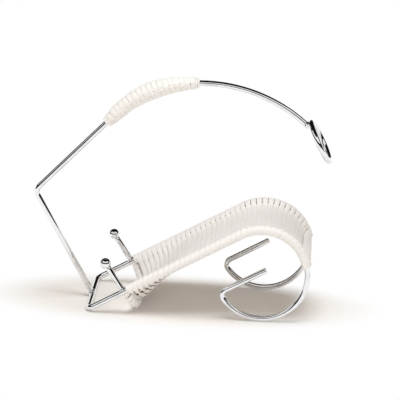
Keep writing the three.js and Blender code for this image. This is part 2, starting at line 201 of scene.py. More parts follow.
class Centreline:
    """A line in space with a steady frame along it, looked up by distance."""

    def __init__(self, points: Array, normal: Array) -> None:
        """Measure the line and carry the normal along it without twist.

        Args:
            points: Points along the line, one per row.
            normal: Direction square to the line at its start, roughly.
        """
        self.points = points
        self.distances = travelled(points)
        self.tangents = unit(np.gradient(points, self.distances, axis=0))
        normals = []
        for tangent in self.tangents:
            normal = unit(normal - tangent * np.dot(normal, tangent))
            normals.append(normal)
        self.normals = np.array(normals)

    @property
    def length(self) -> float:
        """The line's whole length."""
        return float(self.distances[-1])

    def frames(self, distances: Array) -> tuple[Array, Array, Array]:
        """Look up points and frames at distances along the line.

        Args:
            distances: Distances from the line's start.

        Returns:
            The points, the normals and the binormals, one per row each.
        """
        known = (self.points, self.tangents, self.normals)
        points, tangents, normals = (looked_up(distances, self.distances, rows) for rows in known)
        tangents = unit(tangents)
        normals = square_to(tangents, normals)
        return points, normals, np.cross(tangents, normals)

    def coil(
        self, start: float, stop: float, turns: float, radius: RadiusAlong, steps: int = 28
    ) -> tuple[Array, Array, Array, Array]:
        """Wind a helix round the line.

        Args:
            start: Distance where the helix starts.
            stop: Distance where it ends.
            turns: Number of turns.
            radius: Gives the helix radius from distances along the line and angles round it.
            steps: Points per turn.

        Returns:
            The points of the helix, the directions from the line to them, and their distances and angles.
        """
        share = np.linspace(0.0, 1.0, math.ceil(turns * steps) + 1)
        distances = start + (stop - start) * share
        angles = FULL_TURN * turns * share
        points, normals, binormals = self.frames(distances)
        outs = np.cos(angles)[:, None] * normals + np.sin(angles)[:, None] * binormals
        return points + outs * radius(distances, angles)[:, None], outs, distances, angles


# Meshes


def round_outline(radius: float, sides: int = 28) -> Array:
    """Return the outline of a round wire, as distances outwards and sideways."""
    angles = np.arange(sides) * FULL_TURN / sides
    return radius * np.stack([np.cos(angles), np.sin(angles)], axis=1)


def even_sizes(sizes: Array) -> Array:
    """Return sizes of an outline that grows outwards and sideways alike."""
    return np.stack([sizes, sizes], axis=1)


def width_sizes(widths: Array) -> Array:
    """Return sizes of an outline that keeps its thickness and changes in width."""
    return np.stack([np.ones(len(widths)), widths], axis=1)


@dataclass(frozen=True)
class CaneStrand:
    """A flat strand of split cane.

    Attributes:
        width: Width across the strand.
        thickness: Thickness, square to what it lies on.
        squareness: How full the outline is, from 2 for an oval upwards.
        sides: Number of points round the outline.
    """

    width: float
    thickness: float
    squareness: float = 2.7
    sides: int = 14

    def outline(self) -> Array:
        """Draw the strand's outline.

        Returns:
            Its points, as distances outwards and sideways.
        """
        angles = np.arange(self.sides) * FULL_TURN / self.sides
        c, s = np.cos(angles), np.sin(angles)
        power = 2.0 / self.squareness
        out = 0.5 * self.thickness * np.sign(c) * np.abs(c) ** power
        side = 0.5 * self.width * np.sign(s) * np.abs(s) ** power
        return np.stack([out, side], axis=1)


@dataclass
class SweptMesh:
    """Collects swept wires and strands and makes one smooth mesh object of them.

    Attributes:
        uv_length: Length of strand that one unit of the texture's U covers.
        end_share: Size of a chamfered end's face, as a share of the outline.
        points: Rings of points so far.
        faces: Faces so far.
        corners: Texture coordinates of the faces' corners.
        count: Number of points so far.
    """

    uv_length: float = 10.0 * MM
    end_share: float = 0.82
    points: list[Array] = field(default_factory=list)
    faces: list[tuple[int, ...]] = field(default_factory=list)
    corners: list[tuple[float, float]] = field(default_factory=list)
    count: int = 0

    def sweep(
        self, path: Array, outline: Array, outs: Array, end: WireEnd = WireEnd.CHAMFERED,
        sizes: Array | None = None, closed: bool = False,
    ) -> None:
        """Add an outline swept along a path.

        Args:
            path: Points of the path, one per row.
            outline: The outline, as distances outwards and sideways.
            outs: Direction of outwards at each point.
            end: How both ends are finished.
            sizes: Size of the outline at each point, outwards and sideways, one where left out.
            closed: Whether the path runs back into its start.
        """
        if closed:
            tangents = unit(np.roll(path, -1, axis=0) - np.roll(path, 1, axis=0))
        else:
            tangents = unit(np.gradient(path, axis=0))
        outs = square_to(tangents, outs)
        sizes = np.ones((len(path), 2)) if sizes is None else sizes
        if end is WireEnd.CHAMFERED and not closed:
            path, tangents, outs, sizes = self._chamfered(path, tangents, outs, sizes, outline)
        sides = np.cross(tangents, outs)
        out_parts = (outline[None, :, :1] * sizes[:, None, :1]) * outs[:, None, :]
        side_parts = (outline[None, :, 1:] * sizes[:, None, 1:]) * sides[:, None, :]
        lengths = travelled(path)
        if closed:
            lengths = np.append(lengths, lengths[-1] + np.linalg.norm(path[0] - path[-1]))
        self._skin(path[:, None, :] + out_parts + side_parts, lengths / self.uv_length, closed)

    def _chamfered(
        self, path: Array, tangents: Array, outs: Array, sizes: Array, outline: Array
    ) -> tuple[Array, Array, Array, Array]:
        """Set a smaller ring at each end of a path and its full ring a little inside.

        Args:
            path: Points of the path.
            tangents: Direction of the path at each point.
            outs: Direction of outwards at each point.
            sizes: Size of the outline at each point.
            outline: The outline.

        Returns:
            Path, tangents, outward directions and sizes with the two rings more.
        """
        bevel = (1.0 - self.end_share) * float(np.abs(outline).max(axis=0).min())
        inner = np.array([bevel, -bevel])[:, None] * tangents[[0, -1]]
        path = np.vstack([path[:1], path[:1] + inner[:1], path[1:-1], path[-1:] + inner[1:], path[-1:]])
        tangents = np.vstack([tangents[:1], tangents, tangents[-1:]])
        outs = np.vstack([outs[:1], outs, outs[-1:]])
        sizes = np.vstack([sizes[:1] * self.end_share, sizes, sizes[-1:] * self.end_share])
        return path, tangents, outs, sizes

    def _skin(self, rings: Array, lengths: Array, closed: bool) -> None:
        """Add the faces between rings of points, and the end faces of an open run.

        Args:
            rings: The rings, one per row.
            lengths: Texture place of each ring, and of the first again where the run is closed.
            closed: Whether the last ring joins the first.
        """
        rows, columns = rings.shape[:2]
        base = self.count
        self.points.append(rings.reshape(-1, 3))
        self.count += rows * columns
        for i in range(rows if closed else rows - 1):
            here, there = base + i * columns, base + ((i + 1) % rows) * columns
            begin, end = lengths[i], lengths[i + 1]
            for j in range(columns):
                k = (j + 1) % columns
                self.faces.append((here + j, here + k, there + k, there + j))
                low, high = j / columns, (j + 1) / columns
                self.corners += [(begin, low), (begin, high), (end, high), (end, low)]
        if not closed:
            self._lid([base + j for j in reversed(range(columns))], lengths[0])
            self._lid([base + (rows - 1) * columns + j for j in range(columns)], lengths[-1])

    def _lid(self, ring: list[int], length: float) -> None:
        """Add one end face."""
        self.faces.append(tuple(ring))
        self.corners += [(length, 0.5)] * len(ring)

    def piece(self, name: str, material: Material, replaced: Sequence[str]) -> None:
        """Make the object, dress it and set it on the stand's body.

        Args:
            name: Name of the piece.
            material: Its material.
            replaced: The plain nodes that it stands for.
        """
        mesh = bpy.data.meshes.new(name)
        mesh.from_pydata(np.vstack(self.points).tolist(), [], self.faces)
        layer = mesh.uv_layers.new(name="along_and_round")
        layer.data.foreach_set("uv", np.asarray(self.corners, dtype=np.float32).ravel())
        mesh.polygons.foreach_set("use_smooth", [len(face) == 4 for face in self.faces])
        mesh.materials.append(material)
        made = bpy.data.objects.new(name, mesh)
        bpy.context.scene.collection.objects.link(made)
        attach(made, BODY)
        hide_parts(*replaced)
        LOG.info("%s: %d faces", name, len(self.faces))


# Shader node groups and finishes


def link(tree: Tree, source: Socket, target: Socket) -> None:
    """Join two sockets of a node tree."""
    tree.links.new(source, target)


def feed(tree: Tree, value: Number, target: Socket) -> None:
    """Set a socket to a number, or join it to the socket that gives one.

    Args:
        tree: The node tree.
        value: The number or the socket.
        target: The socket to feed.
    """
    if isinstance(value, (int, float)):
        target.default_value = value
    else:
        link(tree, value, target)


def math_node(tree: Tree, operation: str, *inputs: Number) -> Socket:
    """Add a math node.

    Args:
        tree: The node tree.
        operation: The operation's identifier.
        inputs: Sockets to link or numbers to set, in order.

    Returns:
        The result's socket.
    """
    node = tree.nodes.new("ShaderNodeMath")
    node.operation = operation
    for socket, value in zip(node.inputs, inputs):
        feed(tree, value, socket)
    return node.outputs[0]


def eased_range(
    tree: Tree, value: Socket, low: Number, high: Number, first: float = 0.0, last: float = 1.0
) -> Socket:
    """Ease from one number to another while a value goes from low to high.

    Args:
        tree: The node tree.
        value: The value's socket.
        low: Value where the ease starts.
        high: Value where it ends.
        first: Number before the ease.
        last: Number after it.

    Returns:
        The result's socket.
    """
    node = tree.nodes.new("ShaderNodeMapRange")
    node.interpolation_type = "SMOOTHSTEP"
    parts = {"Value": value, "From Min": low, "From Max": high, "To Min": first, "To Max": last}
    for label, part in parts.items():
        feed(tree, part, node.inputs[label])
    return node.outputs["Result"]


def new_group(name: str, inputs: dict[str, float], output: str) -> Tree:
    """Make a shader node group with number inputs and one number output.

    Args:
        name: The group's name.
        inputs: Input names with their usual values.
        output: Output name.

    Returns:
        The group's tree, with its input and output nodes named Inputs and Outputs.
    """
    tree = bpy.data.node_groups.new(name, "ShaderNodeTree")
    for label, usual in inputs.items():
        socket = tree.interface.new_socket(label, in_out="INPUT", socket_type="NodeSocketFloat")
        socket.default_value = usual
    tree.interface.new_socket(output, in_out="OUTPUT", socket_type="NodeSocketFloat")
    tree.nodes.new("NodeGroupInput").name = "Inputs"
    tree.nodes.new("NodeGroupOutput").name = "Outputs"
    return tree


class SurfaceEffects:
    """Shader node groups that more than one finish uses."""

    def __init__(self) -> None:
        """Build each group once."""
        self.streaks = self._streaks()
        self.mottle = self._mottle()
        self.strand_edge = self._painted_strand_shade()

    @staticmethod
    def _streaks() -> Tree:
        """Build fine lines that run along a wire or strand, from its texture coordinates.

        Returns:
            The group, with the lines as Streak.
        """
        tree = new_group("lengthwise_streaks", {"Along": 2.0, "Round": 24.0, "Contrast": 1.6}, "Streak")
        inputs, outputs = tree.nodes["Inputs"].outputs, tree.nodes["Outputs"].inputs
        place = tree.nodes.new("ShaderNodeTexCoord")
        split = tree.nodes.new("ShaderNodeSeparateXYZ")
        joined = tree.nodes.new("ShaderNodeCombineXYZ")
        noise = tree.nodes.new("ShaderNodeTexNoise")
        noise.inputs["Scale"].default_value = 1.0
        noise.inputs["Detail"].default_value = 4.0
        link(tree, place.outputs["UV"], split.inputs[0])
        for axis, stretch in (("X", "Along"), ("Y", "Round")):
            stretched = math_node(tree, "MULTIPLY", split.outputs[axis], inputs[stretch])
            link(tree, stretched, joined.inputs[axis])
        link(tree, joined.outputs[0], noise.inputs["Vector"])
        middle = 0.5
        centred = math_node(tree, "SUBTRACT", noise.outputs["Fac"], middle)
        spread = math_node(tree, "MULTIPLY", centred, inputs["Contrast"])
        held = tree.nodes.new("ShaderNodeClamp")
        link(tree, math_node(tree, "ADD", spread, middle), held.inputs["Value"])
        link(tree, held.outputs[0], outputs["Streak"])
        return tree

    @staticmethod
    def _mottle() -> Tree:
        """Build soft patches over the whole object, such as handling marks and uneven paint.

        Returns:
            The group, with the patches as Mask.
        """
        tree = new_group("soft_mottle", {"Scale": 60.0, "Low": 0.4, "High": 0.7}, "Mask")
        inputs, outputs = tree.nodes["Inputs"].outputs, tree.nodes["Outputs"].inputs
        place = tree.nodes.new("ShaderNodeTexCoord")
        noise = tree.nodes.new("ShaderNodeTexNoise")
        noise.inputs["Detail"].default_value = 3.0
        link(tree, place.outputs["Object"], noise.inputs["Vector"])
        link(tree, inputs["Scale"], noise.inputs["Scale"])
        mask = eased_range(tree, noise.outputs["Fac"], inputs["Low"], inputs["High"])
        link(tree, mask, outputs["Mask"])
        return tree

    @staticmethod
    def _painted_strand_shade() -> Tree:
        """Build the mask for painted shade: the part of a strand that faces away from its crown, from its
        texture coordinates.

        Returns:
            The group, with that part as Mask.
        """
        tree = new_group("strand_edge", {"Crown": 0.75, "Edge": 0.05}, "Mask")
        inputs, outputs = tree.nodes["Inputs"].outputs, tree.nodes["Outputs"].inputs
        place = tree.nodes.new("ShaderNodeTexCoord")
        split = tree.nodes.new("ShaderNodeSeparateXYZ")
        link(tree, place.outputs["UV"], split.inputs[0])
        # Painted shade falls where a strand faces away from its crown
        facing = math_node(tree, "COSINE", math_node(tree, "MULTIPLY", split.outputs["Y"], FULL_TURN))
        link(tree, eased_range(tree, facing, inputs["Crown"], inputs["Edge"]), outputs["Mask"])
        return tree


def place_group(material: Material, group: Tree, **values: float) -> Socket:
    """Set a group in a material with its own values.

    Args:
        material: The material.
        group: The group's tree.
        values: Numbers for the group's inputs, by name.

    Returns:
        The group's output.
    """
    node = material.node_tree.nodes.new("ShaderNodeGroup")
    node.node_tree = group
    for label, value in values.items():
        node.inputs[label].default_value = value
    return node.outputs[0]


def mixed_colour(tree: Tree, mask: Socket, first: Colour | Socket, second: Colour) -> Socket:
    """Mix two colours by a mask.

    Args:
        tree: The material's node tree.
        mask: Share of the second colour.
        first: Colour, or a socket that gives one, where the mask is nought.
        second: Colour where the mask is one.

    Returns:
        The mixed colour's socket.
    """
    node = tree.nodes.new("ShaderNodeMix")
    node.data_type = "RGBA"
    link(tree, mask, node.inputs["Factor"])
    if isinstance(first, tuple):
        node.inputs[FIRST_COLOUR].default_value = first
    else:
        link(tree, first, node.inputs[FIRST_COLOUR])
    node.inputs[SECOND_COLOUR].default_value = second
    return node.outputs[MIXED_COLOUR]


def add_bump(tree: Tree, shader: Principled, height: Socket, distance: float, strength: float) -> None:
    """Raise a shader's surface by a height mask.

    Args:
        tree: The material's node tree.
        shader: The shader.
        height: The mask.
        distance: Height of the surface where the mask is one.
        strength: How strongly the light follows it.
    """
    bump = tree.nodes.new("ShaderNodeBump")
    bump.inputs["Strength"].default_value = strength
    bump.inputs["Distance"].default_value = distance
    link(tree, height, bump.inputs["Height"])
    link(tree, bump.outputs["Normal"], shader.inputs["Normal"])


def new_material(name: str) -> tuple[Material, Principled]:
    """Make a node material.

    Args:
        name: Its name.

    Returns:
        The material and its Principled shader.
    """
    material = bpy.data.materials.new(name)
    material.use_nodes = True
    return material, material.node_tree.nodes["Principled BSDF"]


@dataclass(frozen=True)
class ChromeFinish:
    """Bright chrome plate on drawn wire.

    Attributes:
        name: Name of the material.
        bright: Colour of clean plate.
        dull: Colour of handled patches.
        smoothest: Roughness of clean plate.
        roughest: Roughness along the drawing lines.
        line_height: Height of the drawing lines.
        line_strength: How strongly the light follows them.
    """

    name: str = "chrome_plate"
    bright: Colour = (0.88, 0.88, 0.89, 1.0)
    dull: Colour = (0.74, 0.74, 0.75, 1.0)
    smoothest: float = 0.015
    roughest: float = 0.05
    line_height: float = 0.01 * MM
    line_strength: float = 0.2

    def material(self, effects: SurfaceEffects) -> Material:
        """Build the material.

        Args:
            effects: The shared node groups.

        Returns:
            The material.
        """
        material, shader = new_material(self.name)
        tree = material.node_tree
        lines = place_group(material, effects.streaks, Along=0.6, Round=18.0, Contrast=1.8)
        marks = place_group(material, effects.mottle, Scale=90.0, Low=0.48, High=0.75)
        link(tree, mixed_colour(tree, marks, self.bright, self.dull), shader.inputs["Base Color"])
        roughness = eased_range(tree, lines, 0.0, 1.0, self.smoothest, self.roughest)
        link(tree, roughness, shader.inputs["Roughness"])
        shader.inputs["Metallic"].default_value = 1.0
        add_bump(tree, shader, lines, self.line_height, self.line_strength)
        return material


@dataclass(frozen=True)
class CaneFinish:
    """White painted cane with the fibre showing through, with painted shade on the strands' edges and inner
    faces.

    Attributes:
        name: Name of the material.
        paint: Colour of the crown of a strand.
        fibre: Colour of fibre lines under thin paint.
        edge: Painted shade along a strand's edges and underside, away from its crown.
        bare_and_hole_shade: Colour of the inner face, partly the unpainted cane and partly painted shade in
            the holes between strands.
        smoothest: Lowest roughness.
        roughest: Highest roughness.
        fibre_height: Height of the fibre lines.
        fibre_strength: How strongly the light follows them.
        fibre_focus: Power that narrows the fibre lines' colour.
        fibre_share: Most of the fibre's colour along a line.
        patch_share: Most of the fibre's colour in a patch of thin paint.
        coat: Weight of the paint's clear sheen.
        coat_roughness: Roughness of that sheen.
    """

    name: str
    paint: Colour
    fibre: Colour = (0.85, 0.80, 0.72, 1.0)
    # Painted shade along the strands' edges
    edge: Colour = (0.86, 0.77, 0.65, 1.0)
    # Unpainted inner face, darkened as painted shade in the holes
    bare_and_hole_shade: Colour = (0.34, 0.20, 0.10, 1.0)
    smoothest: float = 0.38
    roughest: float = 0.62
    fibre_height: float = 0.08 * MM
    fibre_strength: float = 0.5
    fibre_focus: float = 3.0
    fibre_share: float = 0.35
    patch_share: float = 0.16
    coat: float = 0.12
    coat_roughness: float = 0.3

    def material(self, effects: SurfaceEffects) -> Material:
        """Build the material.

        Args:
            effects: The shared node groups.

        Returns:
            The material.
        """
        material, shader = new_material(self.name)
        tree = material.node_tree
        lines = place_group(material, effects.streaks, Along=0.9, Round=16.0, Contrast=2.2)
        patches = place_group(material, effects.mottle, Scale=70.0, Low=0.45, High=0.8)
        # Painted shade: masks for the strands' edges and for their inner faces, away from the crown
        edge = place_group(material, effects.strand_edge, Crown=0.5, Edge=0.0)
        inner = place_group(material, effects.strand_edge, Crown=-0.1, Edge=-0.5)
        narrow = math_node(tree, "POWER", lines, self.fibre_focus)
        along_lines = math_node(tree, "MULTIPLY", narrow, self.fibre_share)
        colour = mixed_colour(tree, along_lines, self.paint, self.fibre)
        in_patches = math_node(tree, "MULTIPLY", patches, self.patch_share)
        colour = mixed_colour(tree, in_patches, colour, self.fibre)
        # Painted shade: edges darker, inner faces darkest
        colour = mixed_colour(tree, edge, colour, self.edge)
        colour = mixed_colour(tree, inner, colour, self.bare_and_hole_shade)
        link(tree, colour, shader.inputs["Base Color"])
        roughness = eased_range(tree, lines, 0.0, 1.0, self.smoothest, self.roughest)
        link(tree, roughness, shader.inputs["Roughness"])
        shader.inputs["Coat Weight"].default_value = self.coat
        shader.inputs["Coat Roughness"].default_value = self.coat_roughness
        add_bump(tree, shader, lines, self.fibre_height, self.fibre_strength)
        return material


# The stand


@dataclass(frozen=True)
class StandLayout:
    """Driving sizes of the wire frame, and the lines that follow from them.

    Attributes:
        bar_x: Place of the rear crossbar along the stand.
        wire_radius: Radius of all chrome wire.
        rail_spacing: Distance between the two side wires.
        loop_radius: Radius of the wheel loops, to the wire's middle.
        loop_distance: Distance from the crossbar to the loops' lowest points, and the rails' length too.
        corner_bend: Bend radius where a side wire leaves the crossbar.
        hook_bend: Bend radius of the hook inside a loop.
        hook_rise: Distance of the hook's straight end from the loop's centre, square to the rails.
        hook_past_centre: Length of that end past the loop's centre.
        upright_length: Length of the handle's upright, up to the elbow's corner.
        elbow_bend: Bend radius of the elbow.
        arm_length: Length of the arm, from the elbow's corner.
        arm_rise: Slope of the arm.
        crown_radius: Bend radius of the handle's crown.
        crown_sweep: Angle that the crown turns through.
        reach_radius: Bend radius of the reach, which runs down to the neck ring.
        reach_sweep: Angle that the reach turns through.
        ring_radius: Radius of the neck ring, to the wire's middle.
        ring_tilt: Angle by which the ring's top leans back.
        ring_stand_off: Distance of the ring's top from the handle's line, outwards.
        joint_gap: Gap between pieces that meet.
        post_station: Place of the posts along the side wires.
        post_length: Length of a post, up to its ball's centre.
        post_lean: Angle by which the posts lean back.
        ball_radius: Radius of the ball tips.
        hoop_station: Place of the rear hoop along the side wires.
        hoop_drop: Straight length of the hoop below a rail.
        hoop_corner: Bend radius of the hoop's corners.
        front_angle: Place of the seat's front edge round the loops, up from straight ahead.
    """

    bar_x: float
    wire_radius: float = 2.6 * MM
    rail_spacing: float = 92.0 * MM
    loop_radius: float = 41.5 * MM
    loop_distance: float = 155.0 * MM
    corner_bend: float = 6.0 * MM
    hook_bend: float = 6.0 * MM
    hook_rise: float = 1.7 * MM
    hook_past_centre: float = 6.0 * MM
    upright_length: float = 110.75 * MM
    elbow_bend: float = 8.0 * MM
    arm_length: float = 107.8 * MM
    arm_rise: float = math.radians(46.5)
    crown_radius: float = 88.5 * MM
    crown_sweep: float = math.radians(29.8)
    reach_radius: float = 139.0 * MM
    reach_sweep: float = math.radians(57.2)
    ring_radius: float = 19.2 * MM
    ring_tilt: float = math.radians(28.0)
    ring_stand_off: float = 4.2 * MM
    joint_gap: float = 0.3 * MM
    post_station: float = 36.7 * MM
    post_length: float = 31.0 * MM
    post_lean: float = math.radians(4.0)
    ball_radius: float = 4.9 * MM
    hoop_station: float = 38.95 * MM
    hoop_drop: float = 2.0 * MM
    hoop_corner: float = 16.0 * MM
    front_angle: float = math.radians(20.0)

    @classmethod
    def from_frame(cls) -> StandLayout:
        """Take the crossbar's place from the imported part."""
        low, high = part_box("rear_crossbar")
        return cls(bar_x=(low[0] + high[0]) / 2.0)

    @property
    def rail_tilt(self) -> float:
        """Slope of the rails, which are tangent to the wheel loops."""
        return 2.0 * math.atan(self.loop_radius / self.loop_distance)

    @property
    def rail_along(self) -> Array:
        """Direction up along the rails."""
        return upright(self.rail_tilt)

    @property
    def rail_normal(self) -> Array:
        """Direction square to the rails, up and back."""
        return upright(self.rail_tilt + QUARTER)

    @property
    def bar_middle(self) -> Array:
        """Middle of the rear crossbar."""
        return np.array([self.bar_x, 0.0, self.wire_radius])

    @property
    def elbow(self) -> Array:
        """Corner of the handle, where the upright's and the arm's lines meet."""
        return self.bar_middle + self.rail_normal * self.upright_length

    @property
    def loop_middle(self) -> Array:
        """Point midway between the two wheel loops' centres."""
        return np.array([self.bar_x + self.loop_distance, 0.0, self.loop_radius + self.wire_radius])

    @property
    def front_station(self) -> float:
        """Distance along the side wires to the seat's front edge."""
        return self.loop_distance + self.loop_radius * (self.rail_tilt + QUARTER - self.front_angle)

    @property
    def hoop_depth(self) -> float:
        """Depth of the rear hoop below the rails."""
        return self.hoop_drop + self.hoop_corner

    @property
    def crown_end(self) -> float:
        """Distance along the handle from the elbow to the end of its crown."""
        return self.arm_length + self.crown_radius * self.crown_sweep

    @property
    def handle_length(self) -> float:
        """Distance along the handle from the elbow to its end."""
        return self.crown_end + self.reach_radius * self.reach_sweep

    def sideways(self, side: Side) -> Array:
        """Offset from the middle plane to one side wire."""
        return ACROSS * (side.value * self.rail_spacing / 2.0)

    def side_frames(self, stations: Array) -> tuple[Array, Array]:
        """Look up the side wires' line, in the middle plane.

        Args:
            stations: Distances along a side wire from its corner.

        Returns:
            The points, and the directions outwards, up on the rails and away from the loops' centres.
        """
        beyond = np.maximum(stations - self.loop_distance, 0.0)
        before = np.maximum(self.loop_distance - stations, 0.0)[:, None]
        angles = self.rail_tilt + QUARTER - beyond / self.loop_radius
        outs = upright(angles)
        return self.loop_middle + self.loop_radius * outs - before * upright(angles - QUARTER), outs

    def side_line(self, start: float, stop: float) -> Array:
        """Sample the side wires' line between two stations, in the middle plane."""
        count = max(2, math.ceil((stop - start) / LINE_STEP))
        return self.side_frames(np.linspace(start, stop, count))[0]

    def handle_line(self, start: float, stop: float) -> Array:
        """Sample the handle's line up the arm, over the crown and down the reach.

        Args:
            start: Distance from the elbow to the first point.
            stop: Distance to the last point.

        Returns:
            The points, one per row.
        """
        distances = np.linspace(start, stop, math.ceil((stop - start) / LINE_STEP) + 1)
        first = self.arm_rise + QUARTER
        arm_end = self.elbow + self.arm_length * upright(self.arm_rise)
        crown_centre = arm_end - self.crown_radius * upright(first)
        wider = self.crown_radius - self.reach_radius
        reach_centre = crown_centre + wider * upright(first - self.crown_sweep)
        on_crown = np.clip(distances, self.arm_length, self.crown_end) - self.arm_length
        on_reach = np.maximum(distances - self.crown_end, 0.0)
        angles = first - on_crown / self.crown_radius - on_reach / self.reach_radius
        reached = (on_reach > 0.0)[:, None]
        before = np.minimum(distances - self.arm_length, 0.0)[:, None]
        centres = np.where(reached, reach_centre, crown_centre)
        radii = np.where(reached, self.reach_radius, self.crown_radius)
        return centres + radii * upright(angles) + before * upright(angles - QUARTER)

    def post_foot(self, side: Side) -> Array:
        """Point on a side wire's middle where its post stands."""
        return self.bar_middle + self.sideways(side) + self.rail_along * self.post_station

    def ball_centre(self, side: Side) -> Array:
        """Centre of a post's ball tip."""
        lean = self.rail_tilt + QUARTER + self.post_lean
        return self.post_foot(side) + upright(lean) * self.post_length


@dataclass
class WireFrame:
    """The chrome wire: cradle, handle, neck ring, posts and balls.

    Attributes:
        layout: Sizes and lines of the stand.
        chrome: Material of the wire.
        slot: Name of a material slot; not used.
        bend_step: Angle between rings round a bend.
        bead_length: Length of a weld bead along its wire.
        bead_height: Height of a bead at its foot.
        bead_rings: Number of rings along a bead.
        weld_depth: Place of a welded end, as a share of the other piece's radius.
        ring_lap: Length of the handle wire that runs on into the neck ring.
        post_rings: Number of rings along a post.
        ball_rings: Number of rings from pole to pole of a ball.
        ball_sides: Number of points round a ball.
        ball_pole: Angle from a ball's pole to its first ring.
    """

    layout: StandLayout
    chrome: Material
    slot: str = "chrome_wire"
    bend_step: float = math.radians(4.0)
    bead_length: float = 1.8 * MM
    bead_height: float = 1.0 * MM
    bead_rings: int = 7
    weld_depth: float = 0.8
    ring_lap: float = 3.4 * MM
    post_rings: int = 12
    ball_rings: int = 29
    ball_sides: int = 36
    ball_pole: float = 0.04

    def build(self) -> None:
        """Make every wire piece."""
        self.cradle()
        self.handle()
        self.ring()
        for side in Side:
            self.post(side)
            self.ball(side)
        self.hidden_wires()

    def wire(self, mesh: SweptMesh, path: Array) -> None:
        """Add a round wire along a path to a mesh."""
        line = Centreline(path, ACROSS)
        mesh.sweep(path, round_outline(self.layout.wire_radius), line.normals)

    @staticmethod
    def turned(mesh: SweptMesh, path: Array, outline: Array, swell: Array) -> None:
        """Add a turned shape along a straight path to a mesh.

        Args:
            mesh: Mesh that takes the shape.
            path: Points along its axis.
            outline: Its round outline.
            swell: Size of the outline at each point.
        """
        mesh.sweep(path, outline, np.tile(ACROSS, (len(path), 1)), WireEnd.FLAT, even_sizes(swell))

    def bead(self, mesh: SweptMesh, foot: Array, along: Array) -> None:
        """Add a small weld bead round a wire's foot.

        Args:
            mesh: Mesh that takes the bead.
            foot: Point on the wire's axis where the bead is widest.
            along: Direction from there along the wire.
        """
        shares = np.linspace(0.0, 1.0, self.bead_rings)
        path = foot + along * (shares * self.bead_length)[:, None]
        radius = self.layout.wire_radius
        swell = 1.0 + self.bead_height / radius * (1.0 - shares) ** 2
        self.turned(mesh, path, round_outline(radius), swell)

    def side_path(self, side: Side) -> Array:
        """Draw the path of one side wire, from the crossbar's corner bend to the end of its hook.

        Args:
            side: Side of the stand.

        Returns:
            The points, one per row.
        """
        lay = self.layout
        corner = lay.bar_middle + lay.sideways(side)
        outwards = ACROSS * side.value
        bend_centre = corner - outwards * lay.corner_bend + lay.rail_along * lay.corner_bend
        bend = arc(bend_centre, lay.corner_bend, -lay.rail_along, outwards, 0.0, QUARTER, self.bend_step)
        drop = lay.hook_bend - lay.hook_rise
        reach = math.sqrt((lay.loop_radius - lay.hook_bend) ** 2 - drop**2)
        turn = math.atan2(drop, reach)
        centre = lay.loop_middle + lay.sideways(side)
        quarter = lay.rail_tilt + QUARTER
        round_end = lay.rail_tilt - math.pi + turn
        loop = arc(centre, lay.loop_radius, FORWARD, UP, quarter, round_end, self.bend_step / 2.0)
        hook_centre = centre - lay.rail_along * reach - lay.rail_normal * drop
        hook = arc(hook_centre, lay.hook_bend, FORWARD, UP, round_end + FULL_TURN, quarter, self.bend_step)
        end = centre + lay.rail_normal * lay.hook_rise + lay.rail_along * lay.hook_past_centre
        return chain(bend, loop, hook, end[None, :])

    def cradle(self) -> None:
        """Make one bent wire: wheel loop, rail, crossbar, rail and wheel loop."""
        mesh = SweptMesh()
        self.wire(mesh, chain(self.side_path(Side.RIGHT)[::-1], self.side_path(Side.LEFT)))
        replaced = ["rear_crossbar", "right_rail", "left_rail", "right_wheel_loop", "left_wheel_loop"]
        mesh.piece("cradle_wire", self.chrome, replaced)

    def handle(self) -> None:
        """Make the handle wire from the crossbar to the neck ring, with its weld beads."""
        lay = self.layout
        mesh = SweptMesh()
        turn = lay.rail_tilt + QUARTER - lay.arm_rise
        trim = lay.elbow_bend * math.tan(turn / 2.0)
        bend_centre = lay.elbow - lay.rail_normal * trim + lay.rail_along * lay.elbow_bend
        angles = (lay.rail_tilt + math.pi, lay.arm_rise + QUARTER)
        bend = arc(bend_centre, lay.elbow_bend, FORWARD, UP, *angles, self.bend_step)
        foot = lay.bar_middle + lay.rail_normal * lay.wire_radius * self.weld_depth
        line = lay.handle_line(trim, lay.handle_length)
        along = unit(line[-1] - line[-2])
        self.wire(mesh, chain(foot[None, :], bend, line, (line[-1] + along * self.ring_lap)[None, :]))
        self.bead(mesh, foot, lay.rail_normal)
        self.bead(mesh, line[-1] + along * lay.joint_gap, -along)
        mesh.piece("handle_wire_bent", self.chrome, ["handle_wire"])

    def ring(self) -> None:
        """Make the round neck ring on the end of the handle wire."""
        lay = self.layout
        line = lay.handle_line(lay.arm_length, lay.handle_length)
        along = unit(line[-1] - line[-2])
        outwards = np.array([-along[2], 0.0, along[0]])
        inside = lay.ring_stand_off - lay.wire_radius
        ahead = math.sqrt((lay.wire_radius + lay.joint_gap) ** 2 - inside**2)
        ring_up = upright(QUARTER + lay.ring_tilt)
        centre = line[-1] + outwards * lay.ring_stand_off + along * ahead - ring_up * lay.ring_radius
        path = arc(centre, lay.ring_radius, ring_up, ACROSS, 0.0, FULL_TURN, self.bend_step)[:-1]
        mesh = SweptMesh()
        mesh.sweep(path, round_outline(lay.wire_radius), unit(path - centre), closed=True)
        mesh.piece("neck_ring_round", self.chrome, ["neck_ring"])

    def post(self, side: Side) -> None:
        """Make one side post with its weld bead.

        Args:
            side: Side of the stand.
        """
        lay = self.layout
        foot, ball = lay.post_foot(side), lay.ball_centre(side)
        along = unit(ball - foot)
        start = foot + along * lay.wire_radius * self.weld_depth
        stop = ball - along * lay.ball_radius * self.weld_depth
        mesh = SweptMesh()
        self.wire(mesh, np.linspace(start, stop, self.post_rings))
        self.bead(mesh, start, along)
        word = side.name.lower()
        mesh.piece(f"{word}_post_wire", self.chrome, [f"{word}_post"])

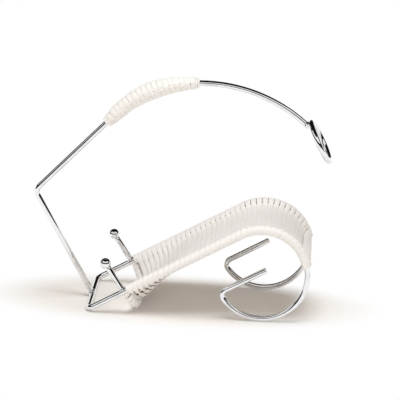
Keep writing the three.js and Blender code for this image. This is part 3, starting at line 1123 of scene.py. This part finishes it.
    def ball(self, side: Side) -> None:
        """Make the ball on the tip of one side post.

        Args:
            side: Side of the stand.
        """
        lay = self.layout
        centre = lay.ball_centre(side)
        along = unit(centre - lay.post_foot(side))
        angles = np.linspace(self.ball_pole, math.pi - self.ball_pole, self.ball_rings)
        path = centre - along * (np.cos(angles) * lay.ball_radius)[:, None]
        mesh = SweptMesh()
        self.turned(mesh, path, round_outline(lay.ball_radius, self.ball_sides), np.sin(angles))
        word = side.name.lower()
        mesh.piece(f"{word}_ball_tip", self.chrome, [f"{word}_ball"])

    def hidden_wires(self) -> None:
        """Dress the two wires that the seat's edge bindings cover."""
        for name in ("rear_hoop", "front_crosswire"):
            node = bpy.data.objects[name]
            node.data.materials.clear()
            node.data.materials.append(self.chrome)


@dataclass(frozen=True)
class Pinch:
    """How a strand narrows where it passes a pair of leaders.

    Attributes:
        share: Width at the leaders, as a share of the strand's.
        length: Distance from the leaders' line over which it stays narrow.
        ease: Length over which it widens again.
    """

    share: float
    length: float
    ease: float


@dataclass(frozen=True)
class SeatRun:
    """One run of the wound strand across the seat.

    Attributes:
        station: Distance along the side wires.
        layer: Layer that the run lies in.
        fullness: Its width, as a share of the strand's.
    """

    station: float
    layer: Layer
    fullness: float = 1.0


@dataclass
class WovenSeat:
    """The cane seat: one strand wound round both side wires, over leader strands along each side.

    Attributes:
        layout: Sizes and lines of the stand.
        cane: Material of the strands.
        slot: Name of a material slot; not used.
        loops: Number of loops of the wound strand.
        end_fullness: Width of the first and last run, as a share of the strand's.
        strand_thickness: Thickness of the wound strand.
        strand_gap: Gap between neighbouring runs, below nought where they press together.
        leader: Strand of the leaders.
        leader_points: Number of points along a leader, for each loop.
        leader_apart: Distance of a leader from its pair's line, in leader widths.
        leader_inset: Distance of a pair's line from the side wire, along the section.
        leader_reach: Distance from that line over which the strands rise to it.
        leader_rise: Depth by which the leaders press into the strands.
        edge_strand: Strand of the close windings round the edge wires.
        edge_overlap: Advance of a close turn, as a share of that strand's width.
        edge_draw: Share of its radius by which an edge binding draws in at its ends.
        edge_draw_length: Length over which it draws in.
        wrap_radius: Radius of the wound strand's middle round a side wire.
        layer_lift: Distance of each layer's middle from the section's.
        neck_length: Length along the section over which the layers part towards a side wire.
        pinch_top: Narrowing of the top layer's runs.
        pinch_under: Narrowing of the under layer's runs.
        arch_spread: Share by which the runs widen at the rim of the arch.
        arch_runs: Number of runs over which that widening comes in.
        press_up: Height by which the leaders lift the strands.
        sag: Depth of the seat's hollow at the front.
        dip_length: Length over which the hollow comes up from the hoop's depth to that.
        hollow: Power of the hollow's curve at the front.
        dip_fullness: The same at the hoop, where the hollow is squarer.
        hoop_wrap_radius: Room from the hoop's middle to the panel.
        hoop_fullness: Distance by which the hoop's binding stands out of that room.
        front_wrap_radius: Outer radius of the front edge's binding.
        tuck: Place of a binding's end from a side wire's surface, below nought inside it.
        columns: Number of points of a run across the seat.
        section_points: Number of points of a section.
        rim_points: Number of points of a turn round a side wire, with both ends.
        hoop_step: Angle between points round the hoop's corners.
        hoop_points: Number of points along the hoop's bottom.
        front_points: Number of points along the front edge.
    """

    layout: StandLayout
    cane: Material
    slot: str = "white_cane"
    loops: int = 34
    end_fullness: float = 0.5
    strand_thickness: float = 1.7 * MM
    strand_gap: float = -0.1 * MM
    leader: CaneStrand = CaneStrand(1.5 * MM, 1.0 * MM)
    leader_points: int = 3
    leader_apart: float = 0.52
    leader_inset: float = 7.0 * MM
    leader_reach: float = 7.0 * MM
    leader_rise: float = 0.5 * MM
    edge_strand: CaneStrand = CaneStrand(4.1 * MM, 1.7 * MM, squareness=4.5, sides=18)
    edge_overlap: float = 0.96
    edge_draw: float = 0.55
    edge_draw_length: float = 3.0 * MM
    wrap_radius: float = 3.6 * MM
    layer_lift: float = 1.05 * MM
    neck_length: float = 11.0 * MM
    pinch_top: Pinch = Pinch(share=0.90, length=0.9 * MM, ease=0.9 * MM)
    pinch_under: Pinch = Pinch(share=0.42, length=3.6 * MM, ease=2.4 * MM)
    arch_spread: float = 0.11
    arch_runs: float = 4.0
    press_up: float = 0.95 * MM
    sag: float = 4.0 * MM
    dip_length: float = 53.5 * MM
    hollow: float = 2.0
    dip_fullness: float = 5.0
    hoop_wrap_radius: float = 3.5 * MM
    hoop_fullness: float = 0.7 * MM
    front_wrap_radius: float = 4.6 * MM
    tuck: float = -0.2 * MM
    columns: int = 72
    section_points: int = 81
    rim_points: int = 15
    hoop_step: float = math.radians(5.0)
    hoop_points: int = 30
    front_points: int = 60

    def build(self) -> None:
        """Make the seat and its edges."""
        self.panel()
        self.rear_edge()
        self.front_edge()

    @property
    def start(self) -> float:
        """Station where the panel starts."""
        return self.layout.hoop_station + self.hoop_wrap_radius + self.layout.joint_gap

    @property
    def stop(self) -> float:
        """Station where the panel ends."""
        return self.layout.front_station - self.front_wrap_radius - self.layout.joint_gap

    @property
    def pitch(self) -> float:
        """Distance between neighbouring runs of a layer, along the side wires."""
        return (self.stop - self.start) / (self.loops + self.end_fullness)

    @property
    def strand(self) -> CaneStrand:
        """The wound strand, as wide as its turns allow."""
        return CaneStrand(self.pitch - self.strand_gap, self.strand_thickness)

    def runs(self) -> list[SeatRun]:
        """List the wound strand's runs, with a narrow one at each end that fills the last half turn.

        Returns:
            The runs in order.
        """
        from_end = 0.5 * self.end_fullness * self.pitch
        runs = [SeatRun(self.start + from_end, Layer.UNDER, self.end_fullness)]
        for i in range(self.loops):
            middle = i + 0.5
            runs.append(SeatRun(self.start + middle * self.pitch, Layer.TOP))
            runs.append(SeatRun(self.start + (middle + self.end_fullness) * self.pitch, Layer.UNDER))
        runs.append(SeatRun(self.stop - from_end, Layer.TOP, self.end_fullness))
        return runs

    def section(self, station: float) -> tuple[Array, Array, Array]:
        """Draw the seat's middle line across the stand at one station.

        Args:
            station: Distance along the side wires.

        Returns:
            Points as distances to the left and outwards, normals alike, and distances along the line.
        """
        dip = float(np.clip(1.0 - (station - self.start) / self.dip_length, 0.0, 1.0))
        depth = self.sag + (self.layout.hoop_depth - self.sag) * dip
        fullness = self.hollow + (self.dip_fullness - self.hollow) * dip
        shares = np.sin(np.linspace(-QUARTER, QUARTER, self.section_points))
        lifts = -depth * (1.0 - np.abs(shares) ** fullness)
        points = np.stack([shares * self.layout.rail_spacing / 2.0, lifts], axis=1)
        slopes = unit(np.gradient(points, axis=0))
        normals = np.stack([-slopes[:, 1], slopes[:, 0]], axis=1)
        return points, normals, travelled(points)

    def in_space(self, stations: Array, flat: Array, flat_outs: Array) -> tuple[Array, Array]:
        """Set points and directions of sections in space.

        Args:
            stations: Station of each point.
            flat: Points as distances to the left and outwards.
            flat_outs: Directions alike.

        Returns:
            The points and the directions in space.
        """
        middles, outs = self.layout.side_frames(stations)
        points = middles + flat[:, :1] * ACROSS + flat[:, 1:] * outs
        return points, flat_outs[:, :1] * ACROSS + flat_outs[:, 1:] * outs

    def crossing(self, run: SeatRun) -> tuple[Array, Array, Array, Array]:
        """Draw the path of one run across the seat.

        Args:
            run: The run.

        Returns:
            Stations, points, outward directions and widths, from the right side wire to the left for the top
            layer and back for the other.
        """
        points, normals, distances = self.section(run.station)
        length = distances[-1]
        across = length * 0.5 * (1.0 - np.cos(np.linspace(0.0, math.pi, self.columns)))
        rim = np.minimum(across, length - across)
        off = np.abs(rim - self.leader_inset)
        at_rim = smooth(1.0 - rim / self.neck_length)
        lifts = self.layer_lift + (self.wrap_radius - self.layer_lift) * at_rim
        lifts = lifts + hump(off, self.leader_reach) * self.press_up
        pinch = self.pinch_top if run.layer is Layer.TOP else self.pinch_under
        spread = smooth((off - pinch.length) / pinch.ease)
        spread = spread * (1.0 + (self.rim_width(run) - 1.0) * at_rim)
        widths = run.fullness * (pinch.share + (1.0 - pinch.share) * spread)
        middle = looked_up(across, distances, points)
        outs = unit(looked_up(across, distances, normals)) * run.layer.value
        order = slice(None, None, run.layer.value)
        flat = middle + outs * lifts[:, None]
        return np.full(self.columns, run.station), flat[order], outs[order], widths[order]

    def rim_width(self, run: SeatRun) -> float:
        """Share of a strand's width at the rim, fuller round the arch, where its turns fan out."""
        on_arch = (run.station - self.layout.loop_distance) / (self.arch_runs * self.pitch)
        return 1.0 + self.arch_spread * float(smooth(on_arch))

    def rim_turn(
        self, before: SeatRun, after: SeatRun, first: Array, last: Array
    ) -> tuple[Array, Array, Array, Array]:
        """Draw the turn of the wound strand round a side wire, between two runs.

        Args:
            before: Run that comes to the wire.
            after: Run that leaves it.
            first: Outward direction where the turn starts.
            last: Outward direction where it ends.

        Returns:
            Stations, points, outward directions and widths.
        """
        shares = np.linspace(0.0, 1.0, self.rim_points)[1:-1]
        side = Side.LEFT if before.layer is Layer.TOP else Side.RIGHT
        begin, end = math.atan2(first[1], first[0]), math.atan2(last[1], last[0])
        angles = begin - ((begin - end) % FULL_TURN) * shares
        outs = np.stack([np.cos(angles), np.sin(angles)], axis=1)
        axis = np.array([side.value * self.layout.rail_spacing / 2.0, 0.0])
        stations = before.station + (after.station - before.station) * smooth(shares)
        widths = before.fullness + (after.fullness - before.fullness) * shares
        return stations, axis + outs * self.wrap_radius, outs, widths * self.rim_width(after)

    def winding(self, mesh: SweptMesh, runs: Sequence[SeatRun]) -> None:
        """Add the strand that is wound round both side wires, run by run.

        Args:
            mesh: Mesh that takes the strand.
            runs: Its runs across the seat, in order.
        """
        parts = [self.crossing(runs[0])]
        for before, after in zip(runs, runs[1:]):
            next_part = self.crossing(after)
            parts.append(self.rim_turn(before, after, parts[-1][2][-1], next_part[2][0]))
            parts.append(next_part)
        stations, flat, outs, widths = (np.concatenate(column) for column in zip(*parts))
        path, directions = self.in_space(stations, flat, outs)
        mesh.sweep(path, self.strand.outline(), directions, sizes=width_sizes(widths))

    def leaders(self, mesh: SweptMesh) -> None:
        """Add the leader strands, two side by side along each side wire under the strands of each layer.

        Args:
            mesh: Mesh that takes the strands.
        """
        apart = self.leader_apart * self.leader.width
        for layer in Layer:
            for side in Side:
                for inset in (self.leader_inset - apart, self.leader_inset + apart):
                    self.leader_strand(mesh, layer, side, inset)

    def leader_strand(self, mesh: SweptMesh, layer: Layer, side: Side, inset: float) -> None:
        """Add one leader strand.

        Args:
            mesh: Mesh that takes the strand.
            layer: Layer that it lies under.
            side: Side of the stand.
            inset: Distance from the side wire, along the seat's middle line.
        """
        sunk = (self.strand_thickness + self.leader.thickness) / 2.0 - self.leader_rise
        lift = self.layer_lift + self.press_up - sunk
        stations = np.linspace(self.start, self.stop, self.leader_points * self.loops)
        flats, outs = [], []
        for station in stations:
            points, normals, distances = self.section(station)
            across = np.array([inset if side is Side.RIGHT else distances[-1] - inset])
            out = unit(looked_up(across, distances, normals)) * layer.value
            flats.append(looked_up(across, distances, points) + out * lift)
            outs.append(out)
        path, directions = self.in_space(stations, np.vstack(flats), np.vstack(outs))
        mesh.sweep(path, self.leader.outline(), directions)

    def panel(self) -> None:
        """Make the woven panel, wound on the side wires, with extra turns on the wires at both ends."""
        mesh = SweptMesh()
        self.winding(mesh, self.runs())
        self.leaders(mesh)
        lay = self.layout
        half = self.edge_strand.width / 2.0
        rear = lay.post_station + lay.wire_radius + half
        front_end = lay.front_station + self.front_wrap_radius + lay.joint_gap
        for side in Side:
            for first, last in ((rear, rear + half), (self.stop, front_end)):
                line = Centreline(lay.side_line(first, last) + lay.sideways(side), ACROSS)
                self.close_turns(mesh, line, 0.0, self.wrap_radius)
        mesh.piece("woven_panel", self.cane, ["seat_weave", "right_rail_wrap", "left_rail_wrap"])

    def rear_edge(self) -> None:
        """Make the cane binding round the hoop at the seat's rear edge."""
        lay = self.layout
        middle = lay.bar_middle + lay.rail_along * lay.hoop_station
        down = -lay.rail_normal
        right, left = (middle + lay.sideways(side) for side in Side)
        inset = ACROSS * lay.hoop_corner
        drop = down * lay.hoop_drop
        quarter = (0.0, QUARTER, self.hoop_step)
        right_bend = arc(right + inset + drop, lay.hoop_corner, -ACROSS, down, *quarter)
        left_bend = arc(left - inset + drop, lay.hoop_corner, down, ACROSS, *quarter)
        bottom = np.linspace(right_bend[-1], left_bend[0], self.hoop_points)
        path = chain(right[None, :], right_bend, bottom, left_bend, left[None, :])
        radius = self.hoop_wrap_radius + self.hoop_fullness
        self.edge_coil("rear_hoop_binding", Centreline(path, lay.rail_along), radius, "rear_hoop_wrap")

    def front_edge(self) -> None:
        """Make the cane binding round the straight wire at the seat's front edge."""
        lay = self.layout
        middle = lay.side_frames(np.array([lay.front_station]))[0][0]
        right, left = (middle + lay.sideways(side) for side in Side)
        line = Centreline(np.linspace(right, left, self.front_points), UP)
        self.edge_coil("front_edge_binding", line, self.front_wrap_radius, "front_edge_wrap")

    def edge_coil(self, name: str, line: Centreline, outer_radius: float, replaced: str) -> None:
        """Wind cane closely round an edge wire and make a piece of it.

        Args:
            name: Name of the piece.
            line: Centreline of the wire.
            outer_radius: Outer radius of the winding.
            replaced: The plain wrap that it stands for.
        """
        mesh = SweptMesh()
        clear = self.layout.wire_radius + self.tuck
        radius = outer_radius - self.edge_strand.thickness / 2.0
        self.close_turns(mesh, line, clear, radius, self.edge_draw)
        mesh.piece(name, self.cane, [replaced])

    def close_turns(
        self, mesh: SweptMesh, line: Centreline, clear: float, radius: float, draw: float = 0.0
    ) -> None:
        """Wind the edge strand round a line, turn beside turn.

        Args:
            mesh: Mesh that takes the strand.
            line: Centreline of the wire.
            clear: Length left free at each end.
            radius: Radius of the winding's middle.
            draw: Share of that radius by which both ends draw in.
        """
        last = line.length - clear

        def drawn_in(distances: Array, _: Array) -> Array:
            """Radius of the winding's middle along the line."""
            inside = np.minimum(distances - clear, last - distances)
            return radius * (1.0 - draw * (1.0 - smooth(inside / self.edge_draw_length)))

        turns = math.ceil((last - clear) / (self.edge_strand.width * self.edge_overlap))
        path, outs, _, _ = line.coil(clear, last, turns, drawn_in)
        mesh.sweep(path, self.edge_strand.outline(), outs)


@dataclass
class CaneGrip:
    """The grip on the handle: a core, one wound strand, a leader and an end binding at each end.

    Attributes:
        layout: Sizes and lines of the stand.
        cane: Material of the strands.
        slot: Name of a material slot; not used.
        start: Distance from the elbow to the grip's rear end, along the handle.
        length: Length of the grip along the handle.
        loops: Number of turns of the wound strand.
        strand_thickness: Thickness of the wound strand.
        strand_gap: Gap between neighbouring turns, below nought where they press together.
        strand_squareness: How full the strand's outline is.
        strand_sides: Number of points round that outline.
        turn_points: Number of points of a turn.
        leader: Strand of the leader.
        leader_points: Number of points along the leader, for each turn that it crosses.
        cord: Strand of the end bindings.
        swell: Outer radii of the hand-wound grip, by distance from its rear end.
        leader_rear: Angle of the leader round the grip at the rear, from its upper side towards the right.
        leader_front: The same at the front.
        leader_reach: Angle from the leader over which the turns bend in or out.
        pinched_share: Width of a turn at the leader, as a share of the strand's.
        pinched_reach: Angle from the leader over which it widens again.
        press: Distance by which the turns bend in or out.
        binding_turns: Number of turns of an end binding.
        core_inset: Distance of the core's ends from the grip's.
        core_clear: Gap between the core and the winding.
        core_rings: Number of rings along the core.
        line: Centreline of the grip.
    """

    layout: StandLayout
    cane: Material
    slot: str = "white_cane"
    start: float = 91.8 * MM
    length: float = 96.0 * MM
    loops: int = 19
    strand_thickness: float = 1.8 * MM
    strand_gap: float = -0.1 * MM
    strand_squareness: float = 6.0
    strand_sides: int = 18
    turn_points: int = 44
    leader: CaneStrand = CaneStrand(3.0 * MM, 1.2 * MM)
    leader_points: int = 6
    cord: CaneStrand = CaneStrand(1.9 * MM, 1.3 * MM, squareness=2.2, sides=10)
    swell: tuple[tuple[float, float], ...] = (
        (0.0, 4.3 * MM), (14.0 * MM, 7.0 * MM), (24.0 * MM, 7.1 * MM), (36.0 * MM, 7.8 * MM),
        (52.0 * MM, 8.3 * MM), (76.0 * MM, 6.8 * MM), (88.0 * MM, 5.6 * MM), (96.0 * MM, 3.6 * MM),
    )
    leader_rear: float = math.radians(122.0)
    leader_front: float = math.radians(86.0)
    leader_reach: float = math.radians(46.0)
    pinched_share: float = 0.8
    pinched_reach: float = math.radians(24.0)
    press: float = 0.35 * MM
    binding_turns: int = 3
    core_inset: float = 0.8 * MM
    core_clear: float = 0.1 * MM
    core_rings: int = 60
    line: Centreline = field(init=False)

    def __post_init__(self) -> None:
        """Take the grip's line from the handle's."""
        self.line = Centreline(self.layout.handle_line(self.start, self.start + self.length), UP)

    def build(self) -> None:
        """Make the grip's pieces."""
        self.core()
        self.winding()
        self.binding("grip_rear_binding", 0.0, 1.0, "grip_rear_collar")
        self.binding("grip_front_binding", self.length, -1.0, "grip_front_collar")

    @property
    def strand(self) -> CaneStrand:
        """The wound strand, as wide as its turns allow."""
        width = self.length / (self.loops + 1) - self.strand_gap
        return CaneStrand(width, self.strand_thickness, self.strand_squareness, self.strand_sides)

    def profile(self, distances: Array) -> Array:
        """Outer radius of the grip at distances from its rear end."""
        knots, radii = np.array(self.swell).T
        return eased_through(distances, knots, radii)

    def middle(self, distances: Array) -> Array:
        """Radius of the wound strand's middle at distances from the grip's rear end."""
        return self.profile(distances) - self.strand_thickness / 2.0

    def leader_angle(self, distances: Array) -> Array:
        """Angle of the leader round the grip at distances from its rear end."""
        return self.leader_rear + (self.leader_front - self.leader_rear) * distances / self.length

    def core(self) -> None:
        """Make the core under the winding."""
        distances = np.linspace(self.core_inset, self.length - self.core_inset, self.core_rings)
        path, normals, _ = self.line.frames(distances)
        radii = self.profile(distances) - self.strand_thickness - self.core_clear
        mesh = SweptMesh()
        mesh.sweep(path, round_outline(1.0), normals, WireEnd.FLAT, even_sizes(radii))
        mesh.piece("grip_inner_core", self.cane, ["grip_core"])

    def from_leader(self, distances: Array, angles: Array) -> tuple[Array, Array]:
        """Find the leader from points of the winding.

        Args:
            distances: Distances of the points from the grip's rear end.
            angles: Angles of the points, from the winding's start.

        Returns:
            The angles from the points to the leader, and whether the leader passes outside their turns.
        """
        past = angles - self.leader_angle(distances)
        turns = np.floor(past / FULL_TURN + 0.5)
        return np.abs(past - turns * FULL_TURN), turns % 2 == 0

    def bent_radius(self, distances: Array, angles: Array) -> Array:
        """Give the radius of the winding's middle, bent in and out by turns where the leader crosses.

        Args:
            distances: Distances of the points from the grip's rear end.
            angles: Angles of the points, from the winding's start.

        Returns:
            A radius for each point.
        """
        off, over = self.from_leader(distances, angles)
        bent = hump(off, self.leader_reach) * self.press
        return self.middle(distances) + bent * np.where(over, -1.0, 1.0)

    def winding(self) -> None:
        """Make the wound strand and the leader woven through it."""
        mesh = SweptMesh()
        half = self.strand.width / 2.0
        path, outs, distances, angles = self.line.coil(
            half, self.length - half, self.loops, self.bent_radius, self.turn_points
        )
        spread = smooth(self.from_leader(distances, angles)[0] / self.pinched_reach)
        widths = self.pinched_share + (1.0 - self.pinched_share) * spread
        mesh.sweep(path, self.strand.outline(), outs, sizes=width_sizes(widths))
        self.woven_leader(mesh, half)
        mesh.piece("grip_cane_winding", self.cane, ["grip_winding"])

    def woven_leader(self, mesh: SweptMesh, half: float) -> None:
        """Add the leader, which passes outside and inside the winding's turns alternately.

        Args:
            mesh: Mesh that takes the leader.
            half: Distance from the grip's end to the winding's first point.
        """
        pitch = (self.length - 2.0 * half) / self.loops
        turns = np.arange(1, self.loops - 1)
        rough = half + pitch * turns
        crossings = rough + pitch * self.leader_angle(rough) / FULL_TURN
        step = (self.strand_thickness + self.leader.thickness) / 2.0
        lifts = np.where(turns % 2 == 0, step - self.press, self.press - step)
        distances = np.linspace(crossings[0], crossings[-1], self.leader_points * len(turns))
        lift = eased_through(distances, crossings, lifts)
        points, normals, binormals = self.line.frames(distances)
        angles = self.leader_angle(distances)[:, None]
        outs = np.cos(angles) * normals + np.sin(angles) * binormals
        radii = self.middle(distances) + lift
        mesh.sweep(points + outs * radii[:, None], self.leader.outline(), outs)

    def binding(self, name: str, end: float, sense: float, replaced: str) -> None:
        """Bind one end of the grip with a few turns of thin cord.

        Args:
            name: Name of the piece.
            end: Distance of the grip's end along its line.
            sense: Direction from that end into the grip.
            replaced: The plain collar that it stands for.
        """
        mesh = SweptMesh()
        start = end + sense * self.cord.width / 2.0
        stop = start + sense * self.cord.width * self.binding_turns

        def cone(distances: Array, _: Array) -> Array:
            """Radius of the cord's middle, just proud of the winding."""
            return np.maximum(self.profile(distances), self.layout.wire_radius + self.cord.thickness / 2.0)

        path, outs, _, _ = self.line.coil(start, stop, self.binding_turns, cone)
        mesh.sweep(path, self.cord.outline(), outs)
        mesh.piece(name, self.cane, [replaced])


# Studio


@dataclass(frozen=True)
class Softbox:
    """A large soft lamp.

    Attributes:
        name: Name of the lamp.
        place: Where it stands.
        size: Width and height.
        power: Power in watts.
        colour: Colour of its light.
    """

    name: str
    place: tuple[float, float, float]
    size: tuple[float, float]
    power: float
    colour: tuple[float, float, float]

    def build(self, target: Vector) -> None:
        """Set the lamp up.

        Args:
            target: Point that it faces.
        """
        data = bpy.data.lights.new(self.name, "AREA")
        data.shape = "RECTANGLE"
        data.size, data.size_y = self.size
        data.energy = self.power
        data.color = self.colour
        lamp = bpy.data.objects.new(self.name, data)
        lamp.location = self.place
        lamp.visible_glossy = False
        lamp.rotation_euler = (target - lamp.location).to_track_quat("-Z", "Y").to_euler()
        bpy.context.scene.collection.objects.link(lamp)


@dataclass(frozen=True)
class StudioView:
    """The camera, seen as an orbit round a point of the stand.

    Attributes:
        azimuth: Angle round the stand in degrees, nought looking along +Y.
        elevation: Angle above the horizon in degrees.
        roll: Turn of the camera about its own axis in degrees.
        distance: Distance from the point.
        focal: Focal length over the picture's width.
        aim: The point, from the crossbar's middle on the floor.
        sensor_width: Width of the camera's sensor in millimetres.
        far: Distance up to which the camera sees.
    """

    azimuth: float = 2.44
    elevation: float = 16.07
    roll: float = 2.38
    distance: float = 2.333
    focal: float = 6.415
    aim: tuple[float, float, float] = (0.09516, 0.0, 0.09725)
    sensor_width: float = 36.0
    far: float = 50.0

    def build(self, layout: StandLayout) -> None:
        """Make the camera and look through it.

        Args:
            layout: Sizes and lines of the stand.
        """
        data = bpy.data.cameras.new("camera")
        data.sensor_width = self.sensor_width
        data.lens = self.focal * self.sensor_width
        data.clip_end = self.far
        a, e = math.radians(self.azimuth), math.radians(self.elevation)
        back = Vector((math.sin(a) * math.cos(e), -math.cos(a) * math.cos(e), math.sin(e)))
        right = Vector((math.cos(a), math.sin(a), 0.0))
        level = Matrix((right, back.cross(right), back)).transposed().to_4x4()
        camera = bpy.data.objects.new("camera", data)
        aim = Vector(self.aim) + Vector((layout.bar_x, 0.0, 0.0))
        place = Matrix.Translation(aim + back * self.distance)
        camera.matrix_world = place @ level @ Matrix.Rotation(math.radians(self.roll), 4, "Z")
        bpy.context.scene.collection.objects.link(camera)
        bpy.context.scene.camera = camera


@dataclass
class Studio:
    """Floor, sky and lamps.

    Attributes:
        floor_size: Length of the floor's sides.
        floor_colour: Colour of the floor near the stand.
        floor_roughness: Roughness of the floor.
        floor_gloss: Level of the floor's own sheen.
        shadow_size: Half the length and width of the oval under the stand where the floor keeps the shadow.
        shadow_reach: Sizes of that oval where the floor starts and ends turning plain white.
        sky_strength: Strength of the sky's light.
        fill: Colour of the sky's light.
        dark_room: Colour of the room in the mirror.
        white: Colour of the backdrop and the front panel in the mirror.
        backdrop_height: Heights on the sky where the pale backdrop behind the stand ends, in the mirror.
        backdrop_front: Places on the sky towards the rear where that backdrop comes in.
        panel_foot: Heights on the sky where the pale front panel starts, in the mirror.
        panel_top: Heights on the sky where it ends.
        panel_back: Places on the sky towards the front where it comes in.
        lamp_target: Point that the lamps face.
        lamps: The lamps.
    """

    floor_size: float = 12.0
    floor_colour: Colour = (0.93, 0.905, 0.875, 1.0)
    floor_roughness: float = 0.9
    floor_gloss: float = 0.1
    shadow_size: tuple[float, float] = (0.140, 0.060)
    shadow_reach: tuple[float, float] = (0.8, 1.4)
    sky_strength: float = 0.33
    fill: Colour = (1.0, 0.87, 0.74, 1.0)
    dark_room: Colour = (0.008, 0.006, 0.004, 1.0)
    white: Colour = (1.0, 1.0, 1.0, 1.0)
    backdrop_height: tuple[float, float] = (0.24, 0.14)
    backdrop_front: tuple[float, float] = (0.1, 0.5)
    panel_foot: tuple[float, float] = (0.38, 0.46)
    panel_top: tuple[float, float] = (0.80, 0.74)
    panel_back: tuple[float, float] = (-0.08, -0.14)
    lamp_target: tuple[float, float, float] = (0.0, 0.0, 0.09)
    lamps: tuple[Softbox, ...] = (
        Softbox(
            "top_softbox", place=(0.12, -0.2, 1.5), size=(1.0, 0.8), power=14.5, colour=(0.96, 0.98, 1.0)
        ),
        Softbox(
            "front_softbox", place=(0.1, -1.95, 0.5), size=(1.6, 0.7), power=10.0, colour=(0.98, 0.985, 1.0)
        ),
        Softbox(
            "left_softbox", place=(-1.6, -0.8, 0.9), size=(0.5, 0.9), power=4.0, colour=(0.95, 0.97, 1.0)
        ),
    )

    def build(self) -> None:
        """Set up the whole studio."""
        bpy.context.scene.view_settings.view_transform = "Standard"
        for lamp in self.lamps:
            lamp.build(Vector(self.lamp_target))
        self.floor()
        self.sky()

    @staticmethod
    def seen_plainly(tree: Tree) -> Socket:
        """Tell whether a ray comes from the camera, from a mirror or through glass.

        Args:
            tree: Node tree of the material or the sky.

        Returns:
            One for such a ray, and nought for others.
        """
        path = tree.nodes.new("ShaderNodeLightPath")
        mirrored = math_node(tree, "MAXIMUM", path.outputs["Is Camera Ray"], path.outputs["Is Glossy Ray"])
        return math_node(tree, "MAXIMUM", mirrored, path.outputs["Is Transmission Ray"])

    def floor(self) -> None:
        """Make a pale floor that keeps the stand's shadow and turns plain white away from it."""
        half = self.floor_size / 2.0
        mesh = bpy.data.meshes.new("floor")
        corners = [(-half, -half, 0.0), (half, -half, 0.0), (half, half, 0.0), (-half, half, 0.0)]
        mesh.from_pydata(corners, [], [(0, 1, 2, 3)])
        material, shader = new_material("floor_paper")
        # The floor's white is for looking at, so no light is sought from it
        material.cycles.emission_sampling = "NONE"
        tree = material.node_tree
        shader.inputs["Base Color"].default_value = self.floor_colour
        shader.inputs["Roughness"].default_value = self.floor_roughness
        shader.inputs["Specular IOR Level"].default_value = self.floor_gloss
        place = tree.nodes.new("ShaderNodeTexCoord")
        oval = tree.nodes.new("ShaderNodeVectorMath")
        oval.operation = "DIVIDE"
        link(tree, place.outputs["Object"], oval.inputs[0])
        oval.inputs[1].default_value = (*self.shadow_size, 1.0)
        far = tree.nodes.new("ShaderNodeVectorMath")
        far.operation = "LENGTH"
        link(tree, oval.outputs[0], far.inputs[0])
        plain = eased_range(tree, far.outputs["Value"], *self.shadow_reach)
        glow = tree.nodes.new("ShaderNodeEmission")
        blend = tree.nodes.new("ShaderNodeMixShader")
        link(tree, math_node(tree, "MULTIPLY", self.seen_plainly(tree), plain), blend.inputs[0])
        link(tree, shader.outputs[0], blend.inputs[1])
        link(tree, glow.outputs[0], blend.inputs[2])
        link(tree, blend.outputs[0], tree.nodes["Material Output"].inputs["Surface"])
        mesh.materials.append(material)
        floor = bpy.data.objects.new("floor", mesh)
        bpy.context.scene.collection.objects.link(floor)

    def sky(self) -> None:
        """Make an even sky, which mirrors show as a dark room with a pale backdrop and front panel."""
        world = bpy.data.worlds.new("studio_sky")
        bpy.context.scene.world = world
        world.use_nodes = True
        # The sky's light is even, so it needs no search for bright places
        world.cycles.sampling_method = "NONE"
        tree = world.node_tree
        even = tree.nodes["Background"]
        even.inputs["Color"].default_value = self.fill
        even.inputs["Strength"].default_value = self.sky_strength
        place = tree.nodes.new("ShaderNodeTexCoord")
        split = tree.nodes.new("ShaderNodeSeparateXYZ")
        link(tree, place.outputs["Generated"], split.inputs[0])
        height, rearwards = split.outputs["Z"], split.outputs["Y"]
        low = eased_range(tree, height, *self.backdrop_height)
        behind = eased_range(tree, rearwards, *self.backdrop_front)
        mirrored = tree.nodes.new("ShaderNodeBackground")
        backdrop = math_node(tree, "MULTIPLY", low, behind)
        foot = eased_range(tree, height, *self.panel_foot)
        top = eased_range(tree, height, *self.panel_top)
        before = eased_range(tree, rearwards, *self.panel_back)
        panel = math_node(tree, "MULTIPLY", math_node(tree, "MULTIPLY", foot, top), before)
        pale = math_node(tree, "MAXIMUM", backdrop, panel)
        link(tree, mixed_colour(tree, pale, self.dark_room, self.white), mirrored.inputs["Color"])
        blend = tree.nodes.new("ShaderNodeMixShader")
        link(tree, self.seen_plainly(tree), blend.inputs[0])
        link(tree, even.outputs[0], blend.inputs[1])
        link(tree, mirrored.outputs[0], blend.inputs[2])
        link(tree, blend.outputs[0], tree.nodes["World Output"].inputs["Surface"])


def main() -> None:
    """Load the part and build the stand and the studio round it."""
    logging.basicConfig(level=logging.INFO, format="%(name)s: %(message)s")
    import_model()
    layout = StandLayout.from_frame()
    StudioView().build(layout)
    Studio().build()
    effects = SurfaceEffects()
    chrome = ChromeFinish().material(effects)
    seat_cane = CaneFinish("seat_cane", paint=(0.925, 0.915, 0.90, 1.0)).material(effects)
    grip_cane = CaneFinish(
        "grip_cane",
        paint=(0.93, 0.92, 0.90, 1.0),
        # Paler painted shade on the grip's strand edges and inner faces
        edge=(0.90, 0.88, 0.84, 1.0),
        bare_and_hole_shade=(0.72, 0.65, 0.56, 1.0),
    ).material(effects)
    WireFrame(layout, chrome).build()
    WovenSeat(layout, seat_cane).build()
    CaneGrip(layout, grip_cane).build()


if __name__ == "__main__":
    main()
